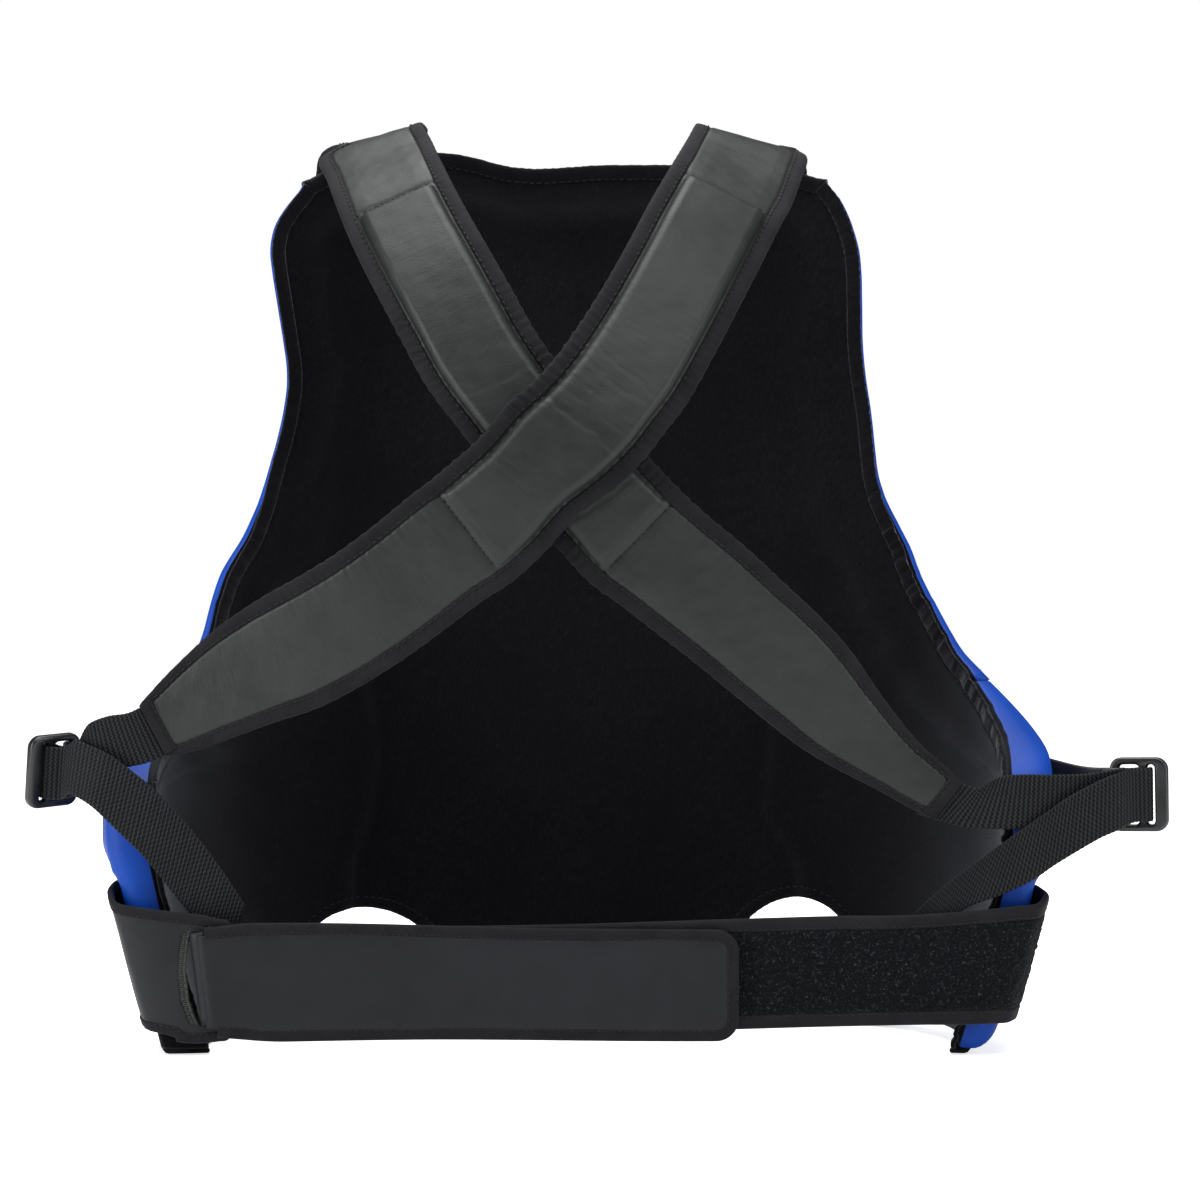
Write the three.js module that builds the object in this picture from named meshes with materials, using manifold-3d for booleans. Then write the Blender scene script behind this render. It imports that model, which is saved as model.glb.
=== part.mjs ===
// Martial-arts chest protector (body guard): a padded front shell that wraps round the
// ribs, two padded shoulder straps that cross on the back, two web adjusters and a
// hook-and-loop waist belt.
// Millimetres, +Z up. The padded front faces -Y, the wearer's back is +Y, the wearer's
// left hand is +X. The shell stands on its bottom edges at z = 0.
import * as THREE from "three";
import { mergeVertices } from "three/addons/utils/BufferGeometryUtils.js";
import Module from "manifold-3d";

const wasm = await Module();
wasm.setup();

// ---------------------------------------------------------------- driving dimensions
const ORIGIN = [-16.41, -25.84, 0]; // centre of the outer box in the drafting frame
const SHELL_X = -7; // middle of the shell in the drafting frame
const GAP = 0.3; // running gap between neighbouring pieces
const LINING = 2.4; // brushed lining cloth on thin foam
const COVER = 1.8; // PU leather front cover
const CHEST_FOAM = 24;
const BELLY_FOAM = 32;
const WING_FOAM_LEFT = 27;
const WING_FOAM_RIGHT = 24;
const BELT_SQUEEZE = 8; // how far the belt presses the wing foam in
const SPLIT_Z = 200; // seam between the chest and the lower panels
const BAND = 2; // thickness of the edge bands
const STRAP_BIND = 0.13; // share of the strap's width under each edge binding
const BACKING = 1.6; // strap backing
const STRAP_FOAM = 5.6; // foam insert of the strap pad
const STRAP_COVER = 1.4; // strap cover
const WEB = 1.5; // webbing thickness (30 mm wide)
const BUCKLE = { length: 31, height: 40, thick: 5, outer: 6.5, slotA: 4.4, centre: 4, slotB: 11.6, anchor: 4.5 };
const BELT_INNER_Y = 63; // inner face of the belt across the back
const BELT = 2; // belt strap thickness
const PILE = 1.8; // loop pile
const TAB = 2.4; // belt tab
const FLAP = 2.6; // belt flap

// Half of the shell's plan curve at its lining face, from the breastbone to the rear edge.
const PLAN = [[0, -122], [60, -121], [108, -113], [152, -95], [190, -66], [216, -26], [229, 15], [229, 52]];

// Outline of the shell, as z and the arc length from the breastbone line.
const EDGE_LEFT = [[0, 328], [12, 332], [144, 332], [150, 322], [157, 301], [175, 283], [195, 261], [218, 238], [231, 233], [244, 228], [255, 223], [262, 219], [279, 204], [299, 193], [317, 186], [335, 180], [350, 176], [366, 173], [379, 173], [397, 176], [414, 179], [431, 182], [446, 184], [460, 181], [474, 171], [484, 160], [520, 160]];
const EDGE_RIGHT = [[0, 328], [12, 332], [148, 332], [156, 322], [171, 299], [189, 273], [204, 254], [214, 239], [227, 228], [244, 214], [259, 204], [272, 199], [285, 191], [293, 186], [303, 180], [317, 175], [333, 173], [350, 171], [373, 167], [392, 165], [430, 164.6], [445, 163], [463, 157], [476, 150], [487, 138], [520, 138]];
const TOP = [[-138, 487], [-122, 494], [-100, 498], [-53, 498], [-11, 498], [9, 496.5], [27, 495.4], [45, 497], [58, 501], [71, 504], [85, 505], [110, 503], [135, 498], [150, 492], [160, 484]];
const ARCH_LEFT = { s: 129, a: 60, b: 67 }; // hip cut-outs between the belly panel and the wings
const ARCH_RIGHT = { s: -128, a: 53, b: 73 };
const CREASE_LEFT = [[60, 129], [110, 133], [155, 122], [200, 126]];
const CREASE_RIGHT = [[60, -128], [73, -128], [115, -107], [172, -110], [200, -112]];

// Shoulder straps: pairs of edge points down each strap, from over the shoulder to its web end.
const STRAP_RIGHT = [
  [[-71.6, -58, 513.4], [-135.4, -58, 494.1]], [[-67.0, -35, 503.7], [-131.3, -35, 481.7]],
  [[-61.4, -8, 492.5], [-123.7, -8, 462.4]], [[-54.8, 14, 479.8], [-116.4, 14, 449.0]],
  [[-45.2, 34, 461.7], [-106.7, 34, 429.6]], [[-32.5, 55, 436.2], [-93.4, 55, 403.4]],
  [[-18.0, 72, 409.4], [-77.8, 72, 373.7]], [[-4.2, 84, 387.2], [-62.6, 84, 346.9]],
  [[6.8, 91, 371.4], [-51.8, 91, 332.8]], [[17.9, 95, 359.5], [-41.7, 95, 319.4]],
  [[30.5, 97.5, 348.3], [-27.5, 97.5, 305.1]], [[46.3, 98, 329.3], [-4.8, 98, 288.2]],
  [[58.4, 97, 318.8], [11.0, 97, 270.3]], [[71.1, 95.5, 308.3], [28.4, 95.5, 254.5]],
  [[82.8, 94, 299.4], [43.2, 94, 245.0]], [[98.3, 91, 286.8], [60.2, 91, 232.3]],
  [[121.4, 86, 269.9], [85.9, 86, 213.7]], [[141.5, 80, 257.8], [110.1, 80, 198.7]],
  [[159.1, 74, 248.2], [132.4, 74, 187.4]], [[174.6, 68, 238.6], [155.4, 68, 179.7]],
  [[189.7, 63, 227.8], [177.9, 63, 171.5]], [[205.4, 58.5, 213.8], [195.2, 58.5, 165.3]],
  [[219.3, 55.5, 200.2], [205.8, 55.5, 162.5]], [[229.2, 54, 189.4], [214.1, 54, 161.3]],
];
const STRAP_LEFT = [
  [[82.3, -58, 514.0], [141.0, -58, 492.9]], [[76.7, -35, 503.1], [135.3, -35, 480.0]],
  [[70.4, -8, 489.1], [128.8, -8, 464.7]], [[63.5, 12, 474.6], [121.8, 12, 448.1]],
  [[54.6, 30, 457.2], [112.9, 30, 429.4]], [[43.7, 47, 437.5], [102.1, 47, 408.9]],
  [[29.2, 62, 411.4], [88.3, 62, 383.5]], [[15.1, 72, 386.0], [73.8, 72, 357.7]],
  [[-0.4, 78, 364.2], [58.1, 78, 337.1]], [[-15.3, 81, 348.6], [40.5, 81, 314.6]],
  [[-30.7, 82.5, 333.1], [21.8, 82.5, 292.3]], [[-45.6, 83, 318.8], [5.4, 83, 273.7]],
  [[-61.0, 82.5, 302.9], [-12.7, 82.5, 254.0]], [[-74.8, 81.5, 290.2], [-28.1, 81.5, 242.9]],
  [[-93.5, 79, 274.8], [-47.3, 79, 228.0]], [[-115.0, 75.5, 255.1], [-68.1, 75.5, 212.0]],
  [[-135.0, 71.5, 236.5], [-88.5, 71.5, 195.3]], [[-151.8, 67, 218.2], [-109.0, 67, 178.6]],
  [[-166.1, 63, 197.8], [-128.5, 63, 164.0]], [[-178.7, 60, 181.0], [-148.6, 60, 152.5]],
  [[-190.8, 58, 166.9], [-166.6, 58, 143.3]], [[-202.4, 56.5, 156.6], [-182.4, 56.5, 134.5]],
  [[-212.2, 55.5, 147.4], [-196.6, 55.5, 127.4]],
];
const PAD_RIGHT = [3, 13]; // first and last station of the pad on each strap
const PAD_LEFT = [3, 12];

// Webs: from each strap's end to the adjuster, and the free tail from the adjuster down
// into the wing, behind the belt.
const WEB_LEFT = [
  [[230.0, 54.6, 187.0], [216.6, 54.6, 161.2]], [[236.3, 55, 184.2], [225.5, 55, 157.4]],
  [[246.6, 55, 182.6], [238.0, 55, 154.6]], [[256.0, 53, 179.3], [251.6, 53, 151.4]],
];
const TAIL_LEFT = [
  [[264.0, 52.5, 169.4], [268.0, 52.5, 140.4]], [[256.8, 56.5, 166.8], [261.6, 56.5, 137.8]],
  [[249.0, 59.8, 163.8], [255.2, 59.8, 134.0]],
  [[240.6, 61, 158.8], [247.6, 61, 127.2]], [[231.0, 61.4, 151.4], [238.6, 61.4, 118.4]],
  [[220.6, 61.2, 143.0], [228.8, 61.2, 109.0]], [[209.6, 60.6, 131.0], [218.0, 60.6, 96.0]],
  [[198.0, 59.6, 117.2], [207.6, 59.6, 82.6]], [[185.2, 58.4, 99.6], [195.4, 58.4, 67.4]],
  [[173.0, 57, 80.8], [182.2, 57, 50.1]],
];
const WEB_RIGHT = [
  [[-213.4, 56.2, 146.0], [-198.2, 56.2, 126.8]], [[-221.6, 57, 143.9], [-204.8, 57, 124.9]],
  [[-228.0, 57.6, 147.6], [-214.8, 57.6, 122.4]], [[-236.0, 58, 150.6], [-229.0, 58, 122.0]],
  [[-245.0, 58, 151.2], [-242.4, 58, 121.6]], [[-262.4, 57, 151.0], [-261.2, 57, 121.4]],
  [[-280.4, 53.0, 151.4], [-280.8, 53.0, 122.2]],
];
const TAIL_RIGHT = [
  [[-297.0, 56.0, 151.8], [-297.0, 56.0, 121.0]], [[-288.6, 59.4, 149.0], [-287.6, 59.4, 117.4]],
  [[-278.2, 61.2, 144.0], [-275.6, 61.2, 110.8]], [[-268.0, 62, 138.4], [-262.6, 62, 103.0]],
  [[-257.6, 62, 131.0], [-250.0, 62, 94.4]], [[-245.2, 61.6, 122.6], [-234.8, 61.6, 87.2]],
  [[-231.4, 61.2, 112.6], [-218.8, 61.2, 81.4]], [[-215.0, 60.4, 100.8], [-200.6, 60.4, 70.4]],
  [[-200.6, 59, 89.4], [-185.8, 59, 58.8]], [[-187.4, 57.4, 77.0], [-173.0, 57.4, 45.8]],
];

// Adjuster frames: centre of the anchor bar, the direction across the frame (from the
// anchor bar to the outer bar) and the direction of its bars.
const BUCKLE_LEFT = { at: [269.51, 29.0, 153.2], along: [0.74, 0.67, -0.06], up: [-0.17, 0.1, 0.98] };
const BUCKLE_RIGHT = { at: [-298.4, 34.0, 139.2], along: [-0.93, 0.36, 0.02], up: [-0.03, 0, 1] };

const BELT_Z = { left: [12, 78], right: [18, 80] };
const SLOT_X = [192.5, 206.5];
const TAB_END_X = 177;
const FLAP_END_X = -92;
const HINGE = [198.6, 71.0];

// ---------------------------------------------------------------- general helpers
const lerp = (a, b, t) => a + (b - a) * t;
const clamp = (v, a, b) => Math.min(b, Math.max(a, v));
const smooth = (t) => { const c = clamp(t, 0, 1); return c * c * (3 - 2 * c); };
const range = (a, b, n) => Array.from({ length: n + 1 }, (_, i) => lerp(a, b, i / n));
function table(rows, x) {
  if (x <= rows[0][0]) return rows[0][1];
  for (let i = 1; i < rows.length; i++)
    if (x <= rows[i][0]) return lerp(rows[i - 1][1], rows[i][1], (x - rows[i - 1][0]) / (rows[i][0] - rows[i - 1][0]));
  return rows[rows.length - 1][1];
}
const sub = (a, b) => [a[0] - b[0], a[1] - b[1], a[2] - b[2]];
const add = (a, b, k = 1) => [a[0] + b[0] * k, a[1] + b[1] * k, a[2] + b[2] * k];
const cross = (a, b) => [a[1] * b[2] - a[2] * b[1], a[2] * b[0] - a[0] * b[2], a[0] * b[1] - a[1] * b[0]];
const dot = (a, b) => a[0] * b[0] + a[1] * b[1] + a[2] * b[2];
const unit = (a) => { const l = Math.hypot(...a) || 1; return [a[0] / l, a[1] / l, a[2] / l]; };
const mix = (a, b, t) => [lerp(a[0], b[0], t), lerp(a[1], b[1], t), lerp(a[2], b[2], t)];

// A box of cells whose corners are moved by a map (u, v, w) -> [x, y, z].
function mapped(us, vs, ws, map) {
  const g = new THREE.BoxGeometry(1, 1, 1, us.length - 1, vs.length - 1, ws.length - 1);
  g.deleteAttribute("normal");
  g.deleteAttribute("uv");
  const m = mergeVertices(g, 1e-4);
  const p = m.attributes.position;
  // opposite faces of neighbouring pieces are cut along the same diagonals, so gaps stay even
  const [nu, nv, nw] = [us.length - 1, vs.length - 1, ws.length - 1];
  const ix = m.index.array;
  let cell = 0;
  for (const [count, turn] of [[nw * nv, 0], [nw * nv, 1], [nu * nw, 0], [nu * nw, 1], [nu * nv, 0], [nu * nv, 1]])
    for (let k = 0; k < count; k++, cell++)
      if (turn) {
        const o = cell * 6, [a, b, d, , c] = ix.slice(o, o + 6);
        ix.set([a, b, c, a, c, d], o);
      }
  const pick = (list, t) => list[Math.round((t + 0.5) * (list.length - 1))];
  for (let i = 0; i < p.count; i++) {
    const q = map(pick(us, p.getX(i)), pick(vs, p.getY(i)), pick(ws, p.getZ(i)));
    p.setXYZ(i, q[0], q[1], q[2]);
  }
  return facingOut(m);
}
function facingOut(m) {
  const p = m.attributes.position, ix = m.index.array;
  let vol = 0;
  const v = (i) => [p.getX(i), p.getY(i), p.getZ(i)];
  for (let i = 0; i < ix.length; i += 3) vol += dot(v(ix[i]), cross(v(ix[i + 1]), v(ix[i + 2])));
  if (vol < 0) for (let i = 0; i < ix.length; i += 3) [ix[i + 1], ix[i + 2]] = [ix[i + 2], ix[i + 1]];
  m.computeVertexNormals();
  return m;
}
function toManifold(g) {
  const c = g.clone();
  for (const k of Object.keys(c.attributes)) if (k !== "position") c.deleteAttribute(k);
  const m = mergeVertices(c, 1e-4);
  return new wasm.Manifold(new wasm.Mesh({ numProp: 3, vertProperties: new Float32Array(m.attributes.position.array), triVerts: new Uint32Array(m.index.array) }));
}
function fromManifold(s) {
  const m = s.getMesh();
  const g = new THREE.BufferGeometry();
  g.setAttribute("position", new THREE.BufferAttribute(new Float32Array(m.vertProperties), 3));
  g.setIndex(new THREE.BufferAttribute(new Uint32Array(m.triVerts), 1));
  g.computeVertexNormals();
  return g;
}

const root = new THREE.Group();
root.name = "chest_protector";
const drafting = new THREE.Group();
drafting.position.set(-ORIGIN[0], -ORIGIN[1], -ORIGIN[2]);
root.add(drafting);
const FINISH = {
  blue: [0x2346b4, 0.42], lining: [0x111116, 0.95], foam: [0x2b2d30, 0.9], pu: [0x33363a, 0.5],
  strap: [0x3b3e3f, 0.48], bind: [0x26272a, 0.7], web: [0x1f2124, 0.8], plastic: [0x16181b, 0.3],
  pile: [0x0b1014, 1.0], hook: [0x141517, 0.9],
};
function put(name, geometry, finish, parent = drafting) {
  const [color, roughness] = FINISH[finish];
  const mesh = new THREE.Mesh(geometry, new THREE.MeshStandardMaterial({ color, roughness, metalness: 0 }));
  mesh.name = name;
  parent.add(mesh);
  return mesh;
}

// ---------------------------------------------------------------- shell surface
const planCurve = new THREE.CatmullRomCurve3(
  [...PLAN.slice(1).reverse().map(([x, y]) => new THREE.Vector3(-x, y, 0)), ...PLAN.map(([x, y]) => new THREE.Vector3(x, y, 0))],
  false, "catmullrom", 0.5);
const planPoints = planCurve.getPoints(560);
const planArc = [0];
for (let i = 1; i < planPoints.length; i++) planArc.push(planArc[i - 1] + planPoints[i].distanceTo(planPoints[i - 1]));
const HALF = planArc[planArc.length - 1] / 2;
function plan(s) {
  const a = clamp(s + HALF, 0, 2 * HALF);
  let i = 1;
  while (i < planArc.length - 1 && planArc[i] < a) i++;
  const t = (a - planArc[i - 1]) / (planArc[i] - planArc[i - 1]);
  const p = planPoints[i - 1], q = planPoints[i];
  const past = s + HALF - a; // beyond the rear edge the curve runs straight on
  const d = unit([q.x - p.x, q.y - p.y, 0]);
  return { x: SHELL_X + lerp(p.x, q.x, t) + d[0] * past, y: lerp(p.y, q.y, t) + d[1] * past };
}
const lean = (z) => 10 * (Math.max(0, z - 250) / 250) ** 2;
const pull = (z) => 30 * (Math.max(0, 115 - z) / 115) ** 1.3;
function skin(s, z) {
  const p = plan(s);
  const w = clamp((Math.abs(s) - 125) / (HALF - 125), 0, 1.1);
  return [p.x - Math.sign(s) * pull(z) * w, p.y + lean(z), z];
}
function outward(s, z) {
  const a = skin(s - 6, z), b = skin(s + 6, z);
  return unit([b[1] - a[1], -(b[0] - a[0]), 0]);
}
const shell = (s, z, t) => add(skin(s, z), outward(s, z), t);
function foamThickness(s, z) {
  const edge = s >= 0 ? table(EDGE_LEFT, z) : table(EDGE_RIGHT, z);
  const side = edge - Math.abs(s);
  const top = table(TOP, s) - z;
  const rim = lerp(22, 4, smooth((z - 150) / 80));
  let full = z > SPLIT_Z ? CHEST_FOAM : Math.abs(s) < 128 ? BELLY_FOAM : s > 0 ? WING_FOAM_LEFT : WING_FOAM_RIGHT;
  if (Math.abs(s) > 150) full -= BELT_SQUEEZE * smooth((112 - z) / 24) * smooth((Math.abs(s) - 150) / 60);
  const d = Math.min(side, z > 330 ? top : 999);
  return lerp(Math.min(rim, full), full, smooth(d / 34));
}
const outside = (s, z) => LINING + GAP + foamThickness(s, z) + GAP + COVER;

// ---------------------------------------------------------------- shell panels
const ring = (arch, z) => arch.a * Math.sqrt(Math.max(0, 1 - (z / arch.b) ** 2));
const FLOOR = BAND + 0.4;
const innerLeft = (z) => (z < ARCH_LEFT.b ? ARCH_LEFT.s : table(CREASE_LEFT, z));
const innerRight = (z) => (z < ARCH_RIGHT.b ? ARCH_RIGHT.s : table(CREASE_RIGHT, z));
const rowsLeft = [FLOOR, 20, 40, 54, 63, ARCH_LEFT.b, 90, 112, 145, 158, 178, SPLIT_Z - 0.2];
const rowsRight = [FLOOR, 20, 40, 57, 68, ARCH_RIGHT.b, 90, 112, 149, 160, 178, SPLIT_Z - 0.2];
const chestRows = [0, 0.08, 0.2, 0.34, 0.48, 0.6, 0.72, 0.84, 0.93, 1];
const chestCols = range(-1, 1, 16);
const TOP_S = [-138, 160];
function chestPoint(u, v) {
  const sTop = lerp(TOP_S[0], TOP_S[1], (u + 1) / 2);
  const z = SPLIT_Z + 0.2 + v * (table(TOP, sTop) - SPLIT_Z - 0.2);
  const zn = SPLIT_Z + 0.2 + v * (483 - SPLIT_Z);
  const s = lerp(-table(EDGE_RIGHT, zn), table(EDGE_LEFT, zn), (u + 1) / 2);
  return [s, z];
}
function wingPoint(side, u, z) {
  const inner = side > 0 ? innerLeft(z) + ring(ARCH_LEFT, z) + 0.2 : -innerRight(z) + ring(ARCH_RIGHT, z) + 0.2;
  const outer = table(side > 0 ? EDGE_LEFT : EDGE_RIGHT, z);
  return [side * lerp(inner, outer, u), z];
}
function bellyPoint(u, v) {
  const zl = rowsAt(rowsLeft, v), zr = rowsAt(rowsRight, v);
  const left = innerLeft(zl) - ring(ARCH_LEFT, zl) - 0.2;
  const right = innerRight(zr) + ring(ARCH_RIGHT, zr) + 0.2;
  return [lerp(right, left, (u + 1) / 2), lerp(zr, zl, (u + 1) / 2)];
}
const rowsAt = (rows, v) => rows[Math.round(v * (rows.length - 1))];
const layers = {
  lining: (s, z) => [0, LINING],
  foam: (s, z) => [LINING + GAP, LINING + GAP + foamThickness(s, z)],
  cover: (s, z) => [LINING + 2 * GAP + foamThickness(s, z), outside(s, z)],
};
const layerFinish = { lining: "lining", foam: "foam", cover: "blue" };
for (const layer of Object.keys(layers)) {
  const lay = (sz, w) => { const t = layers[layer](sz[0], sz[1]); return shell(sz[0], sz[1], t[w]); };
  put("chest_" + layer, mapped(chestCols, chestRows, [0, 1], (u, v, w) => lay(chestPoint(u, v), w)), layerFinish[layer]);
  put("belly_" + layer, mapped(range(-1, 1, 8), range(0, 1, rowsLeft.length - 1), [0, 1], (u, v, w) => lay(bellyPoint(u, v), w)), layerFinish[layer]);
  put("wing_left_" + layer, mapped(range(0, 1, 7), rowsLeft, [0, 1], (u, z, w) => lay(wingPoint(1, u, z), w)), layerFinish[layer]);
  put("wing_right_" + layer, mapped(range(0, 1, 7), rowsRight, [0, 1], (u, z, w) => lay(wingPoint(-1, u, z), w)), layerFinish[layer]);
}

// Edge bands follow the outline and close the layers.
function band(name, points, finish, flip, from = 0.4, first = 0.5, last = 0.5) {
  // points are (s, z) pairs of the outline; the band lies on their outer side
  const pts = points.map((p) => [...p]);
  const short = (p, q, d) => { const l = Math.hypot(q[0] - p[0], q[1] - p[1]); return [lerp(p[0], q[0], d / l), lerp(p[1], q[1], d / l)]; };
  pts[0] = short(pts[0], pts[1], first);
  pts[pts.length - 1] = short(pts[pts.length - 1], pts[pts.length - 2], last);
  const nrm = pts.map((p, i) => {
    const a = pts[Math.max(0, i - 1)], b = pts[Math.min(pts.length - 1, i + 1)];
    const l = Math.hypot(b[0] - a[0], b[1] - a[1]);
    return [((b[1] - a[1]) / l) * flip, (-(b[0] - a[0]) / l) * flip];
  });
  put(name, mapped(range(0, pts.length - 1, pts.length - 1), [0, 1], [from, 0.4 + BAND], (i, t, e) => {
    const p = pts[i], n = nrm[i];
    const tt = t ? outside(p[0], p[1]) : 0;
    const s = p[0] + n[0] * e, z = p[1] + n[1] * e;
    return shell(s, Math.max(z, 0), tt);
  }), finish);
}
const leftArm = [...rowsLeft.slice(8).map((z) => wingPoint(1, 1, z)), ...chestRows.map((v) => chestPoint(1, v))];
const rightArm = [...rowsRight.slice(8).map((z) => wingPoint(-1, 1, z)), ...chestRows.map((v) => chestPoint(-1, v))];
band("armhole_band_left", leftArm, "bind", 1, 1.4);
band("armhole_band_right", rightArm, "bind", -1, 1.4);
band("neck_band", chestCols.map((u) => chestPoint(u, 1)), "bind", -1);
band("rear_band_left", rowsLeft.slice(0, 9).map((z) => wingPoint(1, 1, z)), "blue", 1, 0.7);
band("rear_band_right", rowsRight.slice(0, 9).map((z) => wingPoint(-1, 1, z)), "blue", -1, 0.7);
band("hip_band_left", [...rowsLeft.slice(0, 6).map((z) => wingPoint(1, 0, z)), ...rowsLeft.slice(0, 6).reverse().slice(1).map((z) => [innerLeft(z) - ring(ARCH_LEFT, z) - 0.2, z])], "bind", -1);
band("hip_band_right", [...rowsRight.slice(0, 6).map((z) => wingPoint(-1, 0, z)), ...rowsRight.slice(0, 6).reverse().slice(1).map((z) => [innerRight(z) + ring(ARCH_RIGHT, z) + 0.2, z])], "bind", 1);
// Bottom bands: flat feet that the shell stands on.
function foot(name, sList) {
  put(name, mapped(sList, [0, 1], [0, BAND], (s, t, z) => shell(s, z, t ? outside(s, FLOOR) : 0)), "bind");
}
foot("bottom_band_left", range(wingPoint(1, 0, FLOOR)[0] + 3, wingPoint(1, 1, FLOOR)[0] - 1, 7));
foot("bottom_band_right", range(wingPoint(-1, 1, FLOOR)[0] + 1, wingPoint(-1, 0, FLOOR)[0] - 3, 7));
foot("bottom_band_centre", range(bellyPoint(-1, 0)[0] + 3, bellyPoint(1, 0)[0] - 3, 6));

// ---------------------------------------------------------------- ribbons
// A ribbon is a list of stations, each a pair of edge points and a normal.
function ribbon(stations, hint) {
  const n = stations.length;
  const normals = stations.map(([a, b], i) => {
    const p = stations[Math.max(0, i - 1)], q = stations[Math.min(n - 1, i + 1)];
    const t = sub(mix(q[0], q[1], 0.5), mix(p[0], p[1], 0.5));
    return unit(cross(sub(b, a), t));
  });
  if (dot(normals[hint.at], hint.dir) < 0) normals.forEach((m) => { m[0] *= -1; m[1] *= -1; m[2] *= -1; });
  for (let i = 1; i < n; i++) if (dot(normals[i], normals[i - 1]) < 0) throw new Error("a ribbon turns over");
  return (u, v, h) => {
    const i = clamp(Math.floor(v), 0, n - 2), t = v - i;
    const a = mix(stations[i][0], stations[i + 1][0], t), b = mix(stations[i][1], stations[i + 1][1], t);
    const m = unit(mix(normals[i], normals[i + 1], t));
    return add(mix(a, b, u), m, h);
  };
}
const steps = (a, b) => { const r = [a]; for (let i = Math.floor(a) + 1; i < b - 1e-6; i++) r.push(i); r.push(b); return r; };

// ---------------------------------------------------------------- shoulder straps
function strap(name, stations, side, sInner, sOuter, pad) {
  // the root is sewn to the outer face of the chest cover and goes over the top edge
  const rootRows = [[430, 1], [455, 1], [474, 1]].map(([z]) => [shell(sInner, z, outside(sInner, z) + 6), shell(sOuter, z, outside(sOuter, z) + 6)]);
  const over = (dz, t) => [shell(sInner, table(TOP, sInner) + dz, t), shell(sOuter, table(TOP, sOuter) + dz, t)];
  const rows = [...rootRows, over(-6, 18), over(7, 13), over(11.5, -2), over(10.5, -18), ...stations];
  const r = ribbon(rows, { at: rows.length - 6, dir: [0, 1, 0] });
  const off = 7, end = rows.length - 1;
  const p0 = pad[0] + off, p1 = pad[1] + off;
  const b = STRAP_BIND, g = 0.006;
  const lift = (v, q) => (v <= p0 || v >= p1 ? 0.7 : STRAP_FOAM) * q + 0.0;
  const us = [b + g, b + 0.14, 1 - b - 0.14, 1 - b - g];
  put(name + "_backing", mapped(us, steps(0, end), [0, BACKING], (u, v, h) => r(u, v, h)), "strap");
  put(name + "_foam", mapped(us.slice(1, 3), steps(p0, p1), [0, 1], (u, v, w) => {
    const q = 1;
    return r(u, v, w ? BACKING + GAP + lift(v, q) : BACKING + GAP);
  }), "foam");
  put(name + "_cover", mapped(us, steps(0, end), [0, 1], (u, v, w) => {
    const rim = u < b + 0.05 || u > 1 - b - 0.05;
    const q = rim ? 0 : 1;
    const raised = v >= p0 && v <= p1 && !rim ? lift(v, q) + GAP : 0;
    return r(u, v, BACKING + GAP + raised + (w ? STRAP_COVER : 0));
  }), "strap");
  put(name + "_binding_inner", mapped([0, b], steps(0, end), [-0.3, BACKING + GAP + STRAP_COVER + 0.3], (u, v, h) => r(u, v, h)), "bind");
  put(name + "_binding_outer", mapped([1 - b, 1], steps(0, end), [-0.3, BACKING + GAP + STRAP_COVER + 0.3], (u, v, h) => r(u, v, h)), "bind");
  return r;
}
strap("strap_right", STRAP_RIGHT, -1, -66, -128, PAD_RIGHT);
strap("strap_left", STRAP_LEFT, 1, 92, 150, PAD_LEFT);

// ---------------------------------------------------------------- webs, adjusters, anchor tabs
function buckle(name, frame) {
  const along = unit(frame.along);
  const up = unit(add(frame.up, along, -dot(frame.up, along)));
  const face = cross(along, up);
  const B = BUCKLE, L = B.length, H = B.height;
  const rect = (x0, x1, y0, y1, r, Cls) => {
    const s = new Cls();
    s.moveTo(x0 + r, y0); s.lineTo(x1 - r, y0); s.absarc(x1 - r, y0 + r, r, -Math.PI / 2, 0, false);
    s.lineTo(x1, y1 - r); s.absarc(x1 - r, y1 - r, r, 0, Math.PI / 2, false);
    s.lineTo(x0 + r, y1); s.absarc(x0 + r, y1 - r, r, Math.PI / 2, Math.PI, false);
    s.lineTo(x0, y0 + r); s.absarc(x0 + r, y0 + r, r, Math.PI, 1.5 * Math.PI, false);
    return s;
  };
  const s = rect(-B.anchor / 2, L - B.anchor / 2, -H / 2, H / 2, 5, THREE.Shape);
  const h = H / 2 - 3.6;
  const x1 = B.anchor / 2, x2 = x1 + B.slotB, x3 = x2 + B.centre, x4 = x3 + B.slotA;
  s.holes.push(rect(x1, x2, -h, h, 1.2, THREE.Path), rect(x3, x4, -h, h, 1.2, THREE.Path));
  const g = new THREE.ExtrudeGeometry(s, { depth: B.thick - 1.4, bevelEnabled: true, bevelThickness: 0.7, bevelSize: 0.6, bevelOffset: -0.6, bevelSegments: 1, curveSegments: 3 });
  g.translate(0, 0, -(B.thick - 1.4) / 2);
  g.deleteAttribute("normal"); g.deleteAttribute("uv");
  const m = mergeVertices(g, 1e-3);
  const mat = new THREE.Matrix4().makeBasis(new THREE.Vector3(...along), new THREE.Vector3(...up), new THREE.Vector3(...face));
  mat.setPosition(...frame.at);
  m.applyMatrix4(mat);
  put(name, facingOut(m), "plastic");
  return { along, up, face };
}
const bl = buckle("buckle_left", BUCKLE_LEFT);
const br = buckle("buckle_right", BUCKLE_RIGHT);
const atBar = (frame, ax, k) => (da, df) => {
  const c = add(add(frame.at, ax.along, da), ax.face, df);
  return [add(c, ax.up, k), add(c, ax.up, -k)];
};
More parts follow.
